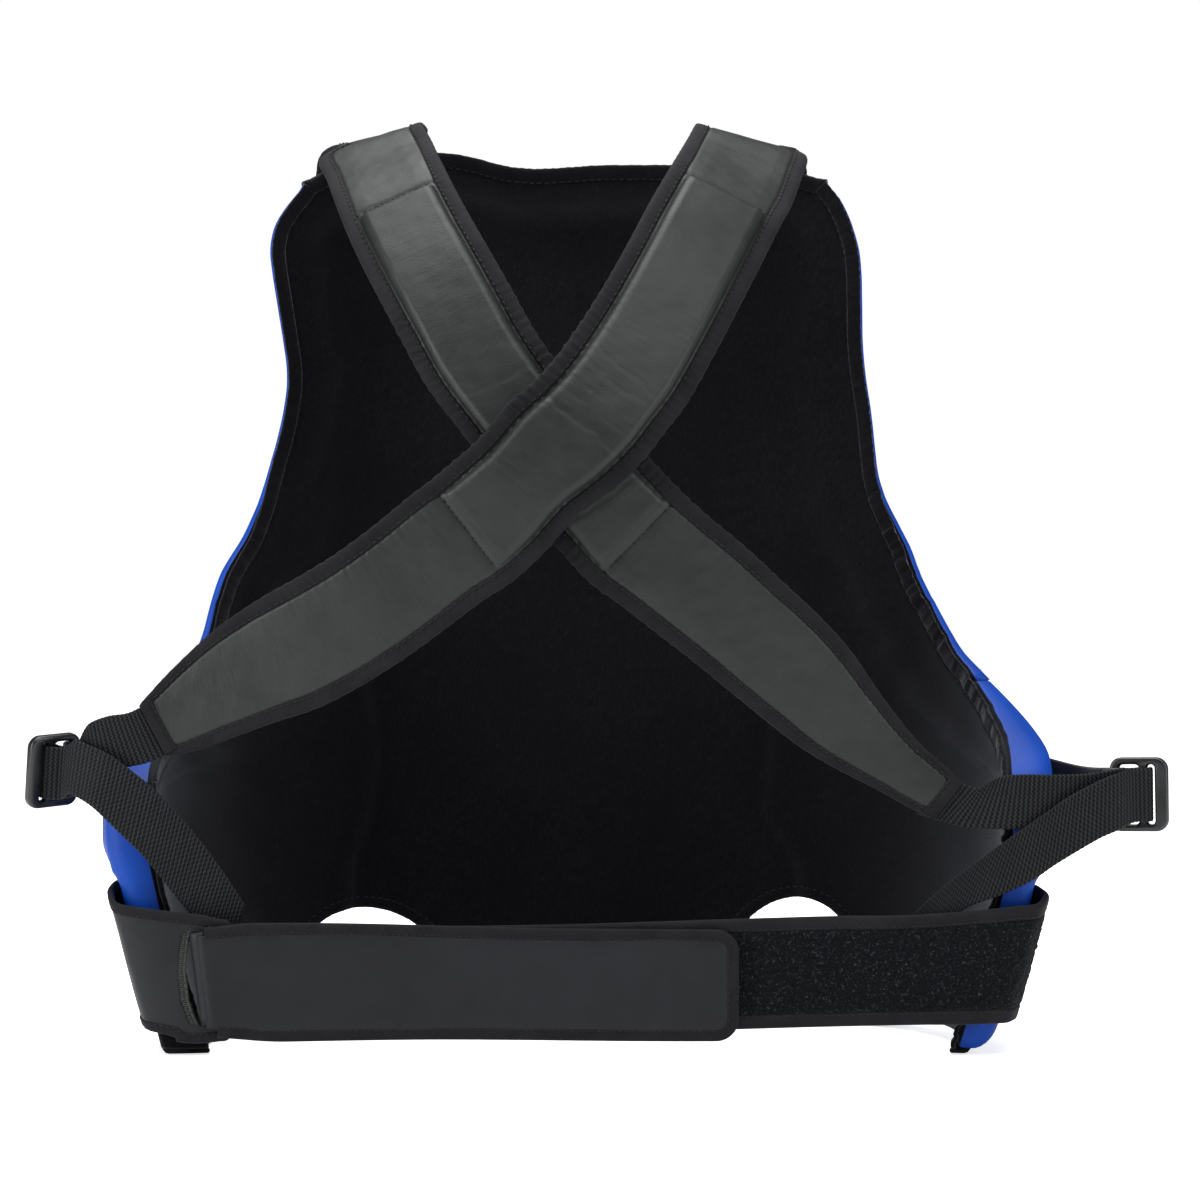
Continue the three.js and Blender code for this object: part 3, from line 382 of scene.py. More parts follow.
class Ribbon:
    """A strip between two edge lines, with a smooth cubic along it. v counts stations."""

    def __init__(self, stations, at, direction):
        st = np.array(stations, float)
        self.a, self.b = st[:, 0], st[:, 1]
        mid = (self.a + self.b) / 2
        self.knots = np.concatenate([[0], np.cumsum(np.linalg.norm(np.diff(mid, axis=0), axis=1))])
        self.n = len(st)
        self.sign = 1.0
        _, _, nn, _ = self.frames(np.array([float(at)]))
        if np.dot(nn[0], direction) < 0:
            self.sign = -1.0

    def arc(self, v):
        return np.interp(v, np.arange(self.n), self.knots)

    def index(self, arc):
        return np.interp(arc, self.knots, np.arange(self.n))

    def frames(self, v):
        t = self.arc(v)
        h = 0.6
        a, b = spline(t, self.knots, self.a), spline(t, self.knots, self.b)
        lo, hi = np.maximum(t - h, 0), np.minimum(t + h, self.knots[-1])
        m0 = (spline(lo, self.knots, self.a) + spline(lo, self.knots, self.b)) / 2
        m1 = (spline(hi, self.knots, self.a) + spline(hi, self.knots, self.b)) / 2
        tangent = unit(m1 - m0)
        n = unit(np.cross(b - a, tangent)) * self.sign
        return a, b, n, tangent

    def lines(self, v0, v1, step):
        """Station numbers at even arc steps, and their arc lengths."""
        t = np.linspace(self.arc(v0), self.arc(v1), max(2, int(round((self.arc(v1) - self.arc(v0)) / step)) + 1))
        return self.index(t), t

    def sweep(self, v, u, h):
        """Points for rows v and sections u, h of shape (m,) or (n, m)."""
        a, b, n, _ = self.frames(v)
        u, h = np.broadcast_to(u, (len(v), np.shape(u)[-1])), np.broadcast_to(h, (len(v), np.shape(h)[-1]))
        return a[:, None] + (b - a)[:, None] * u[..., None] + n[:, None] * h[..., None]

    def width(self, v):
        a, b, _, _ = self.frames(v)
        return np.linalg.norm(b - a, axis=1)


def stitches(name, points, normals, mat, body, pitch=4.2, length=2.9, radius=0.34, sink=0.1, jitter=7, parent=None):
    """Separate thread stitches along a line of drafting-frame points. points (n,3), normals (n,3)."""
    p, nn = np.asarray(points, float), unit(np.asarray(normals, float))
    arc = np.concatenate([[0], np.cumsum(np.linalg.norm(np.diff(p, axis=0), axis=1))])
    rng = np.random.default_rng(jitter)
    verts, faces, at = [], [], 0
    pos = lambda t: np.array([np.interp(t, arc, p[:, k]) for k in range(3)]).T
    nrm = lambda t: unit(np.array([np.interp(t, arc, nn[:, k]) for k in range(3)]).T)
    starts = np.arange(0.6, arc[-1] - length - 0.3, pitch)
    f = np.array([0, 0.12, 0.32, 0.68, 0.88, 1.0])
    rad = np.array([0.25, 0.85, 1, 1, 0.85, 0.25]) * radius
    lift = np.array([-0.9, 0.1, 0.75, 0.75, 0.1, -0.9]) * radius
    for s0 in starts:
        s0 = s0 + rng.uniform(-0.15, 0.15)
        t = s0 + f * (length + rng.uniform(-0.2, 0.2))
        c, m = pos(t), nrm(t)
        tg = unit(c[-1] - c[0])
        side = unit(np.cross(tg, m))
        c = c + m * (lift - sink)[:, None]
        for i in range(len(f)):
            for a in np.arange(6) * np.pi / 3:
                verts.append(c[i] + (side[i] * math.cos(a) + m[i] * math.sin(a)) * rad[i])
        for i in range(len(f) - 1):
            for j in range(6):
                k = (j + 1) % 6
                faces.append((at + i * 6 + j, at + i * 6 + k, at + (i + 1) * 6 + k, at + (i + 1) * 6 + j))
        faces.append(tuple(at + j for j in range(5, -1, -1)))
        faces.append(tuple(at + 30 + j for j in range(6)))
        at += 36
    if not verts:
        return None
    o = make(name, row(np.array(verts)), faces, mat)
    if body:
        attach(o, body)
    return o


# ------------------------------------------------------------------ materials
def rgb(r, g, b):
    f = lambda c: (c / 255 / 12.92) if c / 255 <= 0.04045 else ((c / 255 + 0.055) / 1.055) ** 2.4
    return (f(r), f(g), f(b), 1.0)


class Mat:
    """A small wrapper that builds a node material round one Principled shader."""

    def __init__(self, name, rough=0.5, **sockets):
        self.m = bpy.data.materials.new(name)
        self.m.use_nodes = True
        self.t = self.m.node_tree
        self.t.nodes.clear()
        self.out = self.t.nodes.new("ShaderNodeOutputMaterial")
        self.s = self.t.nodes.new("ShaderNodeBsdfPrincipled")
        self.t.links.new(self.s.outputs["BSDF"], self.out.inputs["Surface"])
        self.s.inputs["Roughness"].default_value = rough
        for k, v in sockets.items():
            self.s.inputs[k.replace("_", " ")].default_value = v
        tc = self.t.nodes.new("ShaderNodeTexCoord")
        self.obj, self.uv = tc.outputs["Object"], tc.outputs["UV"]
        MATS[name] = self.m

    def node(self, kind, ins=None, **attrs):
        n = self.t.nodes.new(kind)
        for k, v in attrs.items():
            setattr(n, k, v)
        for k, v in (ins or {}).items():
            sock = n.inputs[k]
            if isinstance(v, bpy.types.NodeSocket):
                self.t.links.new(v, sock)
            else:
                sock.default_value = v
        return n

    def scaled(self, source, scale, rot=(0, 0, 0)):
        return self.node("ShaderNodeMapping", {"Vector": source, "Scale": scale, "Rotation": rot}).outputs["Vector"]

    def noise(self, vec, scale, detail=2.0, rough=0.5, out="Fac"):
        return self.node("ShaderNodeTexNoise", {"Vector": vec, "Scale": scale, "Detail": detail, "Roughness": rough}).outputs[out]

    def voronoi(self, vec, scale, feature="F1", smooth_=None):
        n = self.node("ShaderNodeTexVoronoi", {"Vector": vec, "Scale": scale}, feature=feature)
        return n.outputs["Distance"]

    def math(self, op, a, b=None, c=None, clamp=False):
        ins = {0: a}
        if b is not None:
            ins[1] = b
        if c is not None:
            ins[2] = c
        return self.node("ShaderNodeMath", ins, operation=op, use_clamp=clamp).outputs[0]

    def ramp(self, fac, stops):
        n = self.node("ShaderNodeValToRGB", {"Fac": fac})
        e = n.color_ramp.elements
        while len(e) < len(stops):
            e.new(0.5)
        for el, (p, c) in zip(e, stops):
            el.position, el.color = p, c if len(c) == 4 else (*c, 1)
        return n.outputs["Color"]

    def span(self, fac, lo, hi, to_lo, to_hi):
        return self.node("ShaderNodeMapRange", {"Value": fac, "From Min": lo, "From Max": hi, "To Min": to_lo, "To Max": to_hi}).outputs["Result"]

    def bump(self, height, strength, distance, normal=None):
        ins = {"Height": height, "Strength": strength, "Distance": distance}
        if normal is not None:
            ins["Normal"] = normal
        return self.node("ShaderNodeBump", ins).outputs["Normal"]

    def put(self, **links):
        for k, v in links.items():
            self.t.links.new(v, self.s.inputs[k.replace("_", " ")])
        return self


def leather(name, low, high, rough, grain=0.22, spec=0.4, creases=0.0, cell=1.15, coat=0.0):
    m = Mat(name, rough, Specular_IOR_Level=spec, Coat_Weight=coat, Coat_Roughness=0.35)
    big = m.noise(m.obj, 14.0, 3, 0.55)
    mid = m.noise(m.obj, 85.0, 3, 0.6)
    tone = m.math("MULTIPLY_ADD", mid, 0.45, m.math("MULTIPLY", big, 0.6))
    m.put(Base_Color=m.ramp(tone, [(0.3, low), (0.75, high)]))
    cells = m.voronoi(m.obj, 1000 / cell, "F1")
    fine = m.noise(m.obj, 2600.0, 2, 0.6)
    n = m.bump(m.math("MULTIPLY_ADD", fine, 0.35, m.math("MULTIPLY", cells, -1.0)), grain, 0.00022)
    if creases:
        lines = m.noise(m.scaled(m.uv, (22, 210, 1)), 1.0, 3, 0.62)
        ridge = m.math("ABSOLUTE", m.math("SUBTRACT", lines, 0.5))
        fold = m.span(ridge, 0.0, 0.035, 0.0, 1.0)
        n = m.bump(fold, creases, 0.0004, n)
    m.put(Normal=n, Roughness=m.span(m.math("MULTIPLY_ADD", cells, 0.3, m.math("MULTIPLY", mid, 0.7)), 0.2, 0.8, rough - 0.07, rough + 0.1))
    return m


leather("strap_leather", rgb(24, 26, 26), rgb(36, 39, 39), 0.45, 0.22, 0.3, 0.14)
leather("belt_leather", rgb(17, 18, 21), rgb(27, 28, 32), 0.5, 0.2, 0.22, 0.05)
leather("tab_leather", rgb(26, 26, 31), rgb(42, 43, 49), 0.46, 0.2, 0.4, 0.1)
leather("blue_leather", rgb(3, 50, 134), rgb(8, 66, 162), 0.44, 0.16, 0.18, 0.0, 1.3, 0.0)


def lining_material():
    m = Mat("lining", 0.96, Specular_IOR_Level=0.06, Sheen_Weight=0.3, Sheen_Roughness=0.45, Sheen_Tint=(0.62, 0.64, 0.72, 1))
    speck = m.noise(m.obj, 1150.0, 3, 0.7)
    patch = m.noise(m.obj, 9.0, 4, 0.6)
    brushed = m.noise(m.scaled(m.obj, (620, 620, 240)), 1.0, 3, 0.6)
    tone = m.math("MULTIPLY_ADD", speck, 0.5, m.math("MULTIPLY_ADD", brushed, 0.3, m.math("MULTIPLY", patch, 0.22)))
    m.put(Base_Color=m.ramp(tone, [(0.3, rgb(1, 1, 2)), (0.5, rgb(5, 5, 7)), (0.7, rgb(22, 22, 26))]))
    twill = m.node("ShaderNodeTexWave", {"Vector": m.scaled(m.obj, (1000, 1000, 1000), (0, 0.78, 0)), "Scale": 0.26, "Distortion": 1.6, "Detail": 2.0, "Detail Scale": 1.4}, wave_type="BANDS", bands_direction="X").outputs["Fac"]
    h = m.math("MULTIPLY_ADD", speck, 0.8, m.math("MULTIPLY", twill, 0.35))
    m.put(Normal=m.bump(h, 0.5, 0.0004), Roughness=m.span(speck, 0.2, 0.8, 0.88, 1.0))


lining_material()


def binding_material(name, low, high, rib=0.55):
    m = Mat(name, 0.72, Specular_IOR_Level=0.14, Sheen_Weight=0.06, Sheen_Roughness=0.4, Sheen_Tint=(0.8, 0.8, 0.85, 1))
    ribs = m.node("ShaderNodeTexWave", {"Vector": m.scaled(m.uv, (1000, 1000, 1000)), "Scale": 0.05 / rib * 3.2, "Distortion": 0.8, "Detail": 1.0}, wave_type="BANDS", bands_direction="Y").outputs["Fac"]
    thread = m.noise(m.scaled(m.uv, (2100, 1200, 1)), 1.0, 3, 0.65)
    patch = m.noise(m.obj, 60.0, 3, 0.6)
    tone = m.math("MULTIPLY_ADD", patch, 0.6, m.math("MULTIPLY", thread, 0.45))
    m.put(Base_Color=m.ramp(tone, [(0.32, low), (0.72, high)]))
    m.put(Normal=m.bump(m.math("MULTIPLY_ADD", ribs, 0.6, thread), 0.35, 0.0002), Roughness=m.span(thread, 0.2, 0.8, 0.62, 0.84))


binding_material("binding", rgb(10, 10, 13), rgb(26, 26, 29))
binding_material("dark_binding", rgb(5, 5, 7), rgb(17, 17, 20))


def web_material():
    """Ribbed nylon web: rows of yarn that zigzag across it. UV is in metres, along V."""
    m = Mat("webbing", 0.62, Specular_IOR_Level=0.14, Sheen_Weight=0.04, Sheen_Roughness=0.4)
    sep = m.node("ShaderNodeSeparateXYZ", {"Vector": m.scaled(m.uv, (1000, 1000, 1))})
    u, v = sep.outputs["X"], sep.outputs["Y"]
    tri = m.math("MULTIPLY", m.math("ABSOLUTE", m.math("SUBTRACT", m.math("FRACT", m.math("DIVIDE", u, 2.3)), 0.5)), 2.0)
    phase = m.math("MULTIPLY_ADD", tri, 0.42, m.math("DIVIDE", v, 2.55))
    rib = m.math("MULTIPLY_ADD", m.math("COSINE", m.math("MULTIPLY", phase, 6.28319)), 0.5, 0.5)
    yarn = m.noise(m.scaled(m.uv, (1500, 2600, 1)), 1.0, 3, 0.6)
    strand = m.node("ShaderNodeTexWave", {"Vector": m.scaled(m.uv, (1000, 1000, 1000)), "Scale": 0.42, "Distortion": 1.5, "Detail": 2.0}, wave_type="BANDS", bands_direction="X").outputs["Fac"]
    worn = m.noise(m.obj, 45.0, 3, 0.6)
    tone = m.math("MULTIPLY_ADD", rib, 0.62, m.math("MULTIPLY_ADD", yarn, 0.26, m.math("MULTIPLY", worn, 0.16)))
    m.put(Base_Color=m.ramp(tone, [(0.2, rgb(2, 2, 3)), (0.55, rgb(14, 15, 17)), (0.95, rgb(46, 48, 51))]))
    m.put(Normal=m.bump(m.math("MULTIPLY_ADD", strand, 0.5, yarn), 0.6, 0.00025), Roughness=m.span(yarn, 0.2, 0.8, 0.5, 0.74))


web_material()


def pile_material():
    m = Mat("loop_pile", 0.95, Specular_IOR_Level=0.05, Sheen_Weight=0.05, Sheen_Roughness=0.6)
    loops = m.voronoi(m.obj, 900.0, "F1")
    clumps = m.noise(m.obj, 620.0, 4, 0.75)
    tone = m.math("MULTIPLY_ADD", clumps, 0.9, m.math("MULTIPLY", loops, -0.22))
    m.put(Base_Color=m.ramp(tone, [(0.29, rgb(1, 2, 4)), (0.37, rgb(4, 6, 9)), (0.44, rgb(18, 21, 26)), (0.54, rgb(62, 66, 74))]))
    m.put(Normal=m.bump(m.math("MULTIPLY_ADD", clumps, 1.4, loops), 0.9, 0.0009), Roughness=m.span(clumps, 0.2, 0.8, 0.85, 1.0))


pile_material()


def hook_material():
    m = Mat("hook_tape", 0.6, Specular_IOR_Level=0.35)
    hooks = m.voronoi(m.scaled(m.obj, (900, 900, 620)), 1.0, "F1")
    m.put(Base_Color=m.ramp(hooks, [(0.15, rgb(30, 31, 33)), (0.6, rgb(9, 9, 11))]))
    m.put(Normal=m.bump(hooks, 0.8, -0.0006), Roughness=m.span(hooks, 0, 0.7, 0.45, 0.8))


hook_material()


def plastic_material():
    m = Mat("moulded_plastic", 0.28, Specular_IOR_Level=0.5, Coat_Weight=0.1, Coat_Roughness=0.25)
    flow = m.noise(m.obj, 55.0, 4, 0.55)
    fine = m.noise(m.obj, 3200.0, 2, 0.5)
    m.put(Base_Color=m.ramp(flow, [(0.3, rgb(14, 15, 17)), (0.75, rgb(26, 28, 31))]))
    m.put(Normal=m.bump(fine, 0.12, 0.00008), Roughness=m.span(flow, 0.3, 0.7, 0.24, 0.4))


plastic_material()


def thread_material(name, low, high):
    m = Mat(name, 0.55, Specular_IOR_Level=0.3)
    twist = m.node("ShaderNodeTexWave", {"Vector": m.scaled(m.obj, (1000, 1000, 1000), (0.5, 0.3, 0.7)), "Scale": 0.7, "Distortion": 0.6}, wave_type="BANDS", bands_direction="DIAGONAL").outputs["Fac"]
    fuzz = m.noise(m.obj, 3000.0, 2, 0.6)
    m.put(Base_Color=m.ramp(m.math("MULTIPLY_ADD", twist, 0.5, m.math("MULTIPLY", fuzz, 0.5)), [(0.25, low), (0.75, high)]))
    m.put(Normal=m.bump(twist, 0.6, 0.0001))


thread_material("thread", rgb(2, 2, 3), rgb(13, 13, 15))
thread_material("grey_thread", rgb(34, 36, 34), rgb(70, 74, 68))
thread_material("blue_thread", rgb(8, 28, 100), rgb(26, 62, 170))


def floor_material():
    m = Mat("studio_floor", 0.8, Specular_IOR_Level=0.1, Emission_Color=(1, 1, 1, 1), Emission_Strength=0.5)
    n = m.noise(m.obj, 3.0, 2, 0.5)
    m.put(Base_Color=m.ramp(n, [(0.3, (0.93, 0.935, 0.94)), (0.7, (0.96, 0.96, 0.96))]))
    far = m.node("ShaderNodeVectorMath", {0: m.obj}, operation="LENGTH").outputs["Value"]
    glow = m.span(far, 0.45, 1.1, 0.66, 1.1)
    direct = m.node("ShaderNodeLightPath").outputs["Is Camera Ray"]
    m.put(Emission_Strength=m.math("MULTIPLY_ADD", direct, m.math("SUBTRACT", glow, 0.12), 0.12))


floor_material()

# ------------------------------------------------------------------ camera, floor and lights
cam_data = bpy.data.cameras.new("camera")
cam = bpy.data.objects.new("camera", cam_data)
bpy.context.scene.collection.objects.link(cam)
cam.location = (-0.00159, 2.02584, 0.245)
cam.rotation_euler = (math.pi / 2, 0, math.pi)
cam_data.sensor_width = 36
cam_data.lens = 108.33
cam_data.clip_start, cam_data.clip_end = 0.05, 60
bpy.context.scene.camera = cam

world = bpy.data.worlds.new("studio")
world.use_nodes = True
wt = world.node_tree
bg = wt.nodes["Background"]
bg.inputs["Color"].default_value = (1, 1, 1, 1)
seen = wt.nodes.new("ShaderNodeLightPath")
level = wt.nodes.new("ShaderNodeMapRange")
level.inputs["To Min"].default_value, level.inputs["To Max"].default_value = 0.13, 1.0
wt.links.new(seen.outputs["Is Camera Ray"], level.inputs["Value"])
wt.links.new(level.outputs["Result"], bg.inputs["Strength"])
bpy.context.scene.world = world
bpy.context.scene.view_settings.view_transform = "Standard"
bpy.context.scene.view_settings.look = "None"

bm = bmesh.new()
bmesh.ops.create_grid(bm, x_segments=24, y_segments=24, size=9)
me = bpy.data.meshes.new("floor")
bm.to_mesh(me)
bm.free()
floor = bpy.data.objects.new("floor", me)
me.materials.append(MATS["studio_floor"])
bpy.context.scene.collection.objects.link(floor)
floor.location.z = -0.0006


def softbox(name, at, aim, size, power, colour=(1, 1, 1)):
    d = bpy.data.lights.new(name, "AREA")
    d.shape, d.size, d.size_y, d.energy, d.color = "RECTANGLE", size[0], size[1], power, colour
    o = bpy.data.objects.new(name, d)
    bpy.context.scene.collection.objects.link(o)
    o.location = at
    o.rotation_euler = (Vector(aim) - Vector(at)).to_track_quat("-Z", "Y").to_euler()
    return o


softbox("key", (-0.55, 1.25, 2.0), (0, 0, 0.28), (1.5, 0.9), 19)
softbox("top", (0.25, -0.1, 2.2), (0, 0, 0.3), (2.2, 1.6), 56)
softbox("side", (1.9, 1.0, 0.8), (0, 0, 0.25), (0.8, 1.6), 36)
softbox("side_far", (-1.9, 1.0, 0.8), (0, 0, 0.25), (0.8, 1.6), 20)


# ------------------------------------------------------------------ shell: parameters
def ring_of(arch, z):
    return arch[1] * np.sqrt(np.maximum(0, 1 - (np.minimum(z, arch[2]) / arch[2]) ** 2))


def inner_left(z):
    return np.where(z < ARCH_LEFT[2], ARCH_LEFT[0], crease_left(z) + (129 - crease_left(67.0)) * smooth((90 - z) / 23))


def inner_right(z):
    return np.where(z < ARCH_RIGHT[2], ARCH_RIGHT[0], crease_right(z) + (-128 - crease_right(73.0)) * smooth((96 - z) / 23))


def z_bottom(s):
    out = np.full(np.shape(s), 2.4)
    for c, a, b in (ARCH_LEFT, ARCH_RIGHT):
        q = (s - c) / a
        out = np.where(np.abs(q) < 1, np.maximum(out, b * np.sqrt(np.maximum(0, 1 - q**2))), out)
    return out


def drawn_in(z):
    """The lining and its rolled edge lie a little inside the cover along the lower armholes."""
    return 1 - 0.012 * smooth((315 - z) / 50) * smooth((z - 138) / 16)


def lift(s, z):
    """The bottom of the right wing curves up between the hip cut-out and the rear corner."""
    s = np.asarray(s, float)
    return 7.5 * smooth((-186 - s) / 30) * smooth((s + 313) / 14) * np.clip(1 - z / 55, 0, 1)


def gather(s, z):
    """Puckers of the lining where it is gathered along the wearer's right armhole and wing edge."""
    d = edge_distance(s, z)
    along = z
    fade = np.exp(-np.maximum(d, 0) / 7.0)
    right = np.where(s < 0, 1.0, 0.25) * smooth((330 - z) / 60) + 0.12
    return fade * right * (1.1 * wave(along / 17.0, 3) + 0.5 * wave(along / 6.5, 5))


def lining_t(s, z):
    """Height of the lining's face above the skin, towards the front. The rim is a thin flange
    and the foam behind starts a few centimetres inside it, which leaves a soft ridge."""
    d = edge_distance(s, z)
    flange = (0.5 + 2.7 * smooth((z - 285) / 50)) * (1 - smooth((d - 13) / 15)) * smooth((z - 110) / 50)
    ridge = -2.6 * bump(d, 31 + 4 * wave(z / 90.0, 11), 10) * smooth((z - 120) / 60)
    crease = 0.0
    cl = np.interp(z, [60, 93, 116, 160, 200, 240], [133, 131, 122, 116, 122, 128])
    cr = np.interp(z, [60, 90, 120, 170, 200, 240], [-128, -124, -104, -108, -112, -116])
    low = smooth((232 - z) / 40)
    crease = crease + 1.7 * bump(s, cl, 4.5) * low - 0.9 * bump(s, cl + 9, 7) * low
    crease = crease + 1.5 * bump(s, cr, 5) * low - 0.8 * bump(s, cr - 10, 8) * low
    soft = 0.5 * wave2(s / 130.0, z / 130.0, 21) + 0.22 * wave2(s / 42.0, z / 42.0, 22)
    stitch = 0.8 * bump(d, 8.0, 1.3) * smooth((z - 140) / 30)
    return flange + ridge + crease + soft + stitch + gather(s, z)


# ------------------------------------------------------------------ shell: lining
def shell_columns():
    cols = [np.linspace(-328, 328, 150)]
    for c, a, b in (ARCH_LEFT, ARCH_RIGHT):
        cols.append(c + a * np.cos(np.linspace(0, np.pi, 26)))
    c = np.unique(np.round(np.concatenate(cols), 1))
    keep = [c[0]]
    for x in c[1:]:
        if x - keep[-1] > 0.35:
            keep.append(x)
    c = np.array(keep)
    c[-1] = 328
    return (c + 328) / 656


def front_point(u, v):
    """(s, z) over the whole front: u across, v up, following every outline."""
    z0 = v * 483
    s = lerp(-edge_right(z0), edge_left(z0), u)
    zb, zt = z_bottom(s), top_of(s)
    low = zb + (SPLIT_Z - zb) * (z0 / SPLIT_Z)
    high = SPLIT_Z + (zt - SPLIT_Z) * ((z0 - SPLIT_Z) / (483 - SPLIT_Z))
    return s, np.where(z0 < SPLIT_Z, low, high)


cu = shell_columns()
cv = np.unique(np.concatenate([np.linspace(0, 1, 128), [0.004, 0.012, 0.985, 0.994]]))
U, V = np.meshgrid(cu, cv)
S, Z = front_point(U, V)
S, Z = S * drawn_in(Z), Z + lift(S, Z)
tin = lining_t(S, Z)
lining = solid_grid("lining_cloth", [shell(S, Z, tin), shell(S, Z, tin + 0.9), shell(S, Z, np.maximum(tin + 1.8, 2.0))], "lining")
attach(lining, "shell")
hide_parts("chest_lining", "belly_lining", "wing_left_lining", "wing_right_lining")


# ------------------------------------------------------------------ shell: padded panels
def seam_dip(s, z):
    """Distance of a point from the panel seams, as a groove in the cover."""
    d1 = np.abs(z - SPLIT_Z)
    near = 2.0 * bump(d1, 0, 5.5) * (0.15 + 0.85 * smooth((edge_distance(s, z) - 4) / 25))
    low = smooth((SPLIT_Z + 4 - z) / 8)
    near = np.maximum(near, 2.6 * bump(np.abs(s - inner_left(z)), 0, 6.0) * low * (z > ARCH_LEFT[2]))
    near = np.maximum(near, 2.6 * bump(np.abs(s - inner_right(z)), 0, 6.0) * low * (z > ARCH_RIGHT[2]))
    return near


def cover_t(s, z):
    """The cover's height. On the wings the change from one panel's foam to the next is gradual."""
    low = np.where(s > 0, WING_FOAM_LEFT, WING_FOAM_RIGHT)
    step, ease = smooth((z - SPLIT_Z + 3) / 6), smooth((z - 150) / 95)
    side = smooth((np.abs(s) - 140) / 60) * smooth(edge_distance(s, z) / 34)
    return outside(s, z) + (CHEST_FOAM - low) * (ease - step) * side - seam_dip(s, z) + 0.5 * wave2(s / 95.0, z / 95.0, 31)


F = np.array([0, 0.1, 0.25, 0.42, 0.58, 0.72, 0.84, 0.93, 0.98, 1.0])


# ------------------------------------------------------------------ cloth simulation of the padded panels
def puff(o, voxel, pressure, frames, cap, inner, keep=2.6):
    """Swells a closed padded panel as cloth round its foam. The face behind the lining is pinned."""
    n0 = o.name
    m = o.modifiers.new("remesh", "REMESH")
    m.mode, m.voxel_size, m.use_smooth_shade = "VOXEL", voxel, True
    dg = bpy.context.evaluated_depsgraph_get()
    me = bpy.data.meshes.new_from_object(o.evaluated_get(dg))
    o.modifiers.clear()
    old = o.data
    t = bpy.data.objects.new(n0 + "_sim", me)
    bpy.context.scene.collection.objects.link(t)
    rest = np.empty(len(me.vertices) * 3, np.float32)
    me.vertices.foreach_get("co", rest)
    rest = rest.reshape(-1, 3).astype(float)
    # the original shape gives each new point its place between the lining and the cover
    tree = KDTree(len(inner))
    for i, c in enumerate(inner):
        tree.insert(c, i)
    tree.balance()
    dist = np.array([tree.find(c)[2] for c in rest]) * 1000
    pin = t.vertex_groups.new(name="pin")
    for i in np.nonzero(dist < 4.0)[0]:
        pin.add([int(i)], 1.0, "REPLACE")
    c = t.modifiers.new("cloth", "CLOTH")
    s = c.settings
    s.quality, s.mass, s.air_damping = 5, 0.3, 4.0
    s.tension_stiffness = s.compression_stiffness = 22
    s.shear_stiffness, s.bending_stiffness = 12, 4.0
    s.use_pressure, s.uniform_pressure_force = True, pressure
    s.vertex_group_mass = "pin"
    s.effector_weights.gravity = 0
    c.collision_settings.use_collision = False
    c.point_cache.frame_start, c.point_cache.frame_end = 1, frames
    sc = bpy.context.scene
    for f in range(1, frames + 1):
        sc.frame_set(f)
    dg = bpy.context.evaluated_depsgraph_get()
    got = bpy.data.meshes.new_from_object(t.evaluated_get(dg))
    co = np.empty(len(got.vertices) * 3, np.float32)
    got.vertices.foreach_get("co", co)
    move = co.reshape(-1, 3).astype(float) - rest
    size = np.linalg.norm(move, axis=1, keepdims=True)
    move = move * np.minimum(1, cap / np.maximum(size, 1e-9))
    shift = KDTree(len(rest))
    for i, p in enumerate(rest):
        shift.insert(p, i)
    shift.balance()
    # carry the swelling back to the finer panel, whose seams and edges stay sharp
    v = np.empty(len(old.vertices) * 3, np.float32)
    old.vertices.foreach_get("co", v)
    v = v.reshape(-1, 3).astype(float)
    out = v.copy()
    for i, p in enumerate(v):
        near = shift.find_n(p, 6)
        w = np.array([1 / (d + 0.001) for _, _, d in near])
        out[i] += (move[[j for _, j, _ in near]] * w[:, None]).sum(0) / w.sum()
    old.vertices.foreach_set("co", out.astype(np.float32).ravel())
    old.update()
    bpy.data.objects.remove(t)
    sc.frame_set(1)
    return o


def pad(name, point, us, vs, radius, in_r=1.5, low_t=3.0, dark=1):
    """A closed padded panel: its inner face lies behind the lining and its front is the cover."""
    layers = []
    U, V = np.meshgrid(us, vs)
    for f in F:
        r = in_r * (1 - math.sqrt(max(0, 1 - ((0.5 - f) / 0.5) ** 2))) if f < 0.5 else radius * (1 - math.sqrt(max(0, 1 - ((f - 0.5) / 0.5) ** 2)))
        s, z = point(U, V, r)
        z = z + lift(s, z)
        a = np.maximum(lining_t(s, z) + 2.0, low_t - 0.6)
        layers.append(shell(s, z, a + (np.maximum(cover_t(s, z), a + 2.5) - a) * f))
    slots = [1] + [1] * dark + [0] * (10 - dark)
    o = solid_grid(name, layers, ["blue_leather", "lining"], slots)
    return puff(o, 0.0055, 5.0, 18, 0.005, row(np.array(layers[0]).reshape(-1, 3)))


def inset(u, r, width):
    k = np.clip(r / np.maximum(width, 1) * 2, 0, 0.9)
    return 0.5 + (u - 0.5) * (1 - k)


def inset_seam(v, r, width, low):
    """As inset, but the end that is sewn to the next panel pulls in less."""
    k = np.clip(r / np.maximum(width, 1), 0, 0.45)
    a, b = (0.14 * k, k) if low else (k, 0.14 * k)
    return a + v * (1 - a - b)


def chest_at(u, v, r):
    z0 = SPLIT_Z + inset_seam(v, r, 283, True) * 283
    s0 = lerp(-edge_right(z0), edge_left(z0), u)
    width = edge_left(z0) + edge_right(z0)
    s = lerp(-edge_right(z0), edge_left(z0), inset(u, r, width))
    zt = top_of(s0)
    return s, SPLIT_Z + (zt - SPLIT_Z) * ((z0 - SPLIT_Z) / 283)


def rows_z(arch):
    return np.unique(np.concatenate([arch[2] * np.sin(np.linspace(0.04, np.pi / 2, 26)), np.linspace(arch[2], SPLIT_Z - 0.2, 40)]))


